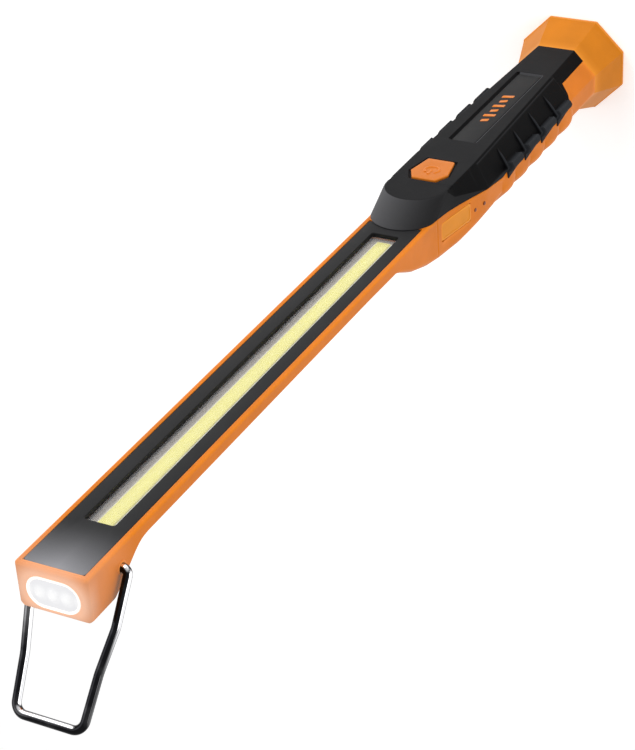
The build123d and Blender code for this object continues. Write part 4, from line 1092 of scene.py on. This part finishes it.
def lensRings():
    # stadium rings drawn in to the centre; the front rises as a dome with a bump over each optic
    d = lens
    rim = stadiumRing(d["wide"], d["high"], 0, d["front"])
    centre = np.array([0, d["y"], 0])
    rows = [centre + (rim - centre) * np.array([0.01, 0.01, 0]) + np.array([0, 0, d["back"]]),
            rim * np.array([1, 1, 0]) + np.array([0, 0, d["back"]])]
    for share in np.concatenate([[1.0], np.linspace(0.985, 0.01, 40)]):
        row = centre + (rim - centre) * np.array([share, share, 0])
        away = [(row[:, 0] - x) ** 2 + (row[:, 1] - d["y"]) ** 2 for x in d["optics"]]
        bumps = sum(np.clip(1 - a / d["opticRadius"] ** 2, 0, 1) for a in away)
        rise = d["dome"] * (1 - share ** 4) + d["opticRise"] * bumps ** 0.8
        row[:, 2] = d["front"] - d["lip"] + (rise - (d["lip"] if share == 1.0 else 0))
        rows.append(row)
    return np.array(rows)


lensGlow = Shader("lensGlow", Roughness=0.2, Emission_Strength=0.62, Base_Color=(0.3, 0.3, 0.3), IOR=1.49)
lx, ly, _ = lensGlow.axes()
cell = lensGlow.node("ShaderNodeMath", {"operation": "PINGPONG"}, {0: lx + 0.0027, 1: 0.0027})
radial = ((cell - 0.0027) * (cell - 0.0027) + (ly - 0.0026) * (ly - 0.0026)) ** 0.5
flutes = lensGlow.noise(420.0, 3.0)
lensGlow.set(Emission_Color=lensGlow.mix((radial / 0.0034 - 0.25 + flutes * 0.3).clamp(), (1.0, 1.0, 1.0),
                                         screen(228, 228, 232)),
             Normal=lensGlow.bump(flutes, 0.1, 0.00005))
makeMesh("lensFront", lensRings(), lensGlow.material, "clear_lens", replaced=("end_lens",), crease=35)
gasketLip = ((-0.2, 478.45), (-0.2, 479.85), (0.2, 480.05), (0.45, 480.12), (0.7, 480.05), (0.84, 479.85),
             (0.84, 478.45))
gasketRings = np.array([stadiumRing(lens["wide"], lens["high"], grow, z) for grow, z in gasketLip])
# painted glow: the gasket is given a faint pale emission, as if lit through by the lamp
gasketSkin = moulded("gasketSkin", screen(224, 214, 206), 0.4, Emission_Color=(1.0, 0.96, 0.92),
                     Emission_Strength=0.35)
makeMesh("lensGasket", gasketRings, gasketSkin.material, "bush_plastic", replaced=("lens_gasket",),
         ends="ring", crease=50)
dieGlow = Shader("dieGlow", Base_Color=screen(246, 240, 160), Emission_Color=screen(255, 250, 220),
                 Emission_Strength=1.5)
dieSpeck = dieGlow.noise(900.0, 3.0)
dieGlow.set(Roughness=(0.3 + dieSpeck * 0.2).clamp(), Normal=dieGlow.bump(dieSpeck, 0.3, 0.00005))
dress(dieGlow.material, "torch_dies")
print("end lamp made")


# camera, floor and light

shot = {"place": (-0.36377, -0.42503, 0.93837), "turn": (-32.80035, 27.16082, 176.30321), "lens": 101.782,
        "sensor": 36.0, "target": (0, 0, 0.24)}


def makeCamera():
    data = bpy.data.cameras.new("mainCamera")
    data.lens, data.sensor_width = shot["lens"], shot["sensor"]
    data.clip_start, data.clip_end = 0.01, 50
    made = bpy.data.objects.new("mainCamera", data)
    made.location = shot["place"]
    made.rotation_euler = Euler([math.radians(a) for a in shot["turn"]], "XYZ")
    bpy.context.scene.collection.objects.link(made)
    bpy.context.scene.camera = made
    return made.rotation_euler.to_matrix()


axes = makeCamera()
rightWay, upWay, viewerWay = axes.col[0].copy(), axes.col[1].copy(), axes.col[2].copy()


def softLight(name, place, target, size, power):
    data = bpy.data.lights.new(name, "AREA")
    data.shape, data.size, data.size_y, data.energy = "RECTANGLE", size[0], size[1], power
    light = bpy.data.objects.new(name, data)
    light.location = place
    light.rotation_euler = (Vector(target) - Vector(place)).to_track_quat("-Z", "Y").to_euler()
    bpy.context.scene.collection.objects.link(light)
    return light


studio = {"key": 7.6, "fill": 5.4, "sideLight": 1.6, "lampGlow": 0.003, "world": 0.62}
middle = Vector(shot["target"])
softLight("keyLight", middle + viewerWay * 0.5 + upWay * 1.0 - rightWay * 0.55, middle, (0.9, 0.7),
          studio["key"])
softLight("fillLight", middle + viewerWay * 0.9 + rightWay * 0.9 - upWay * 0.2, middle, (0.8, 0.8),
          studio["fill"])
lampGlow = softLight("lampGlow", (0, 0.0026, 0.505), (0, 0.0026, 0.47), (0.02, 0.012), studio["lampGlow"])
lampGlow.visible_camera = False
lampGlow.visible_glossy = False
softLight("sideLight", middle + Vector((0.6, -0.2, 0.75)), middle, (0.5, 0.5), studio["sideLight"])

world = bpy.data.worlds.new("studio")
bpy.context.scene.world = world
world.use_nodes = True
background = world.node_tree.nodes["Background"]
background.inputs[0].default_value = (1, 1, 1, 1)
background.inputs[1].default_value = studio["world"]

floorPlane = bpy.data.meshes.new("floor")
floorPlane.from_pydata([(-4, -4, 0), (4, -4, 0), (4, 4, 0), (-4, 4, 0)], [], [(0, 1, 2, 3)])
floor = bpy.data.objects.new("floor", floorPlane)
bpy.context.scene.collection.objects.link(floor)
paper = Shader("floorPaper", Base_Color=(0.93, 0.93, 0.93), Emission_Color=(1, 1, 1), Emission_Strength=0.3)
fibre = paper.noise(60.0, 4.0)
paper.set(Roughness=0.85 + fibre * 0.1)
floorPlane.materials.append(paper.material)
bpy.context.scene.view_settings.view_transform = "Standard"
print("studio ready")
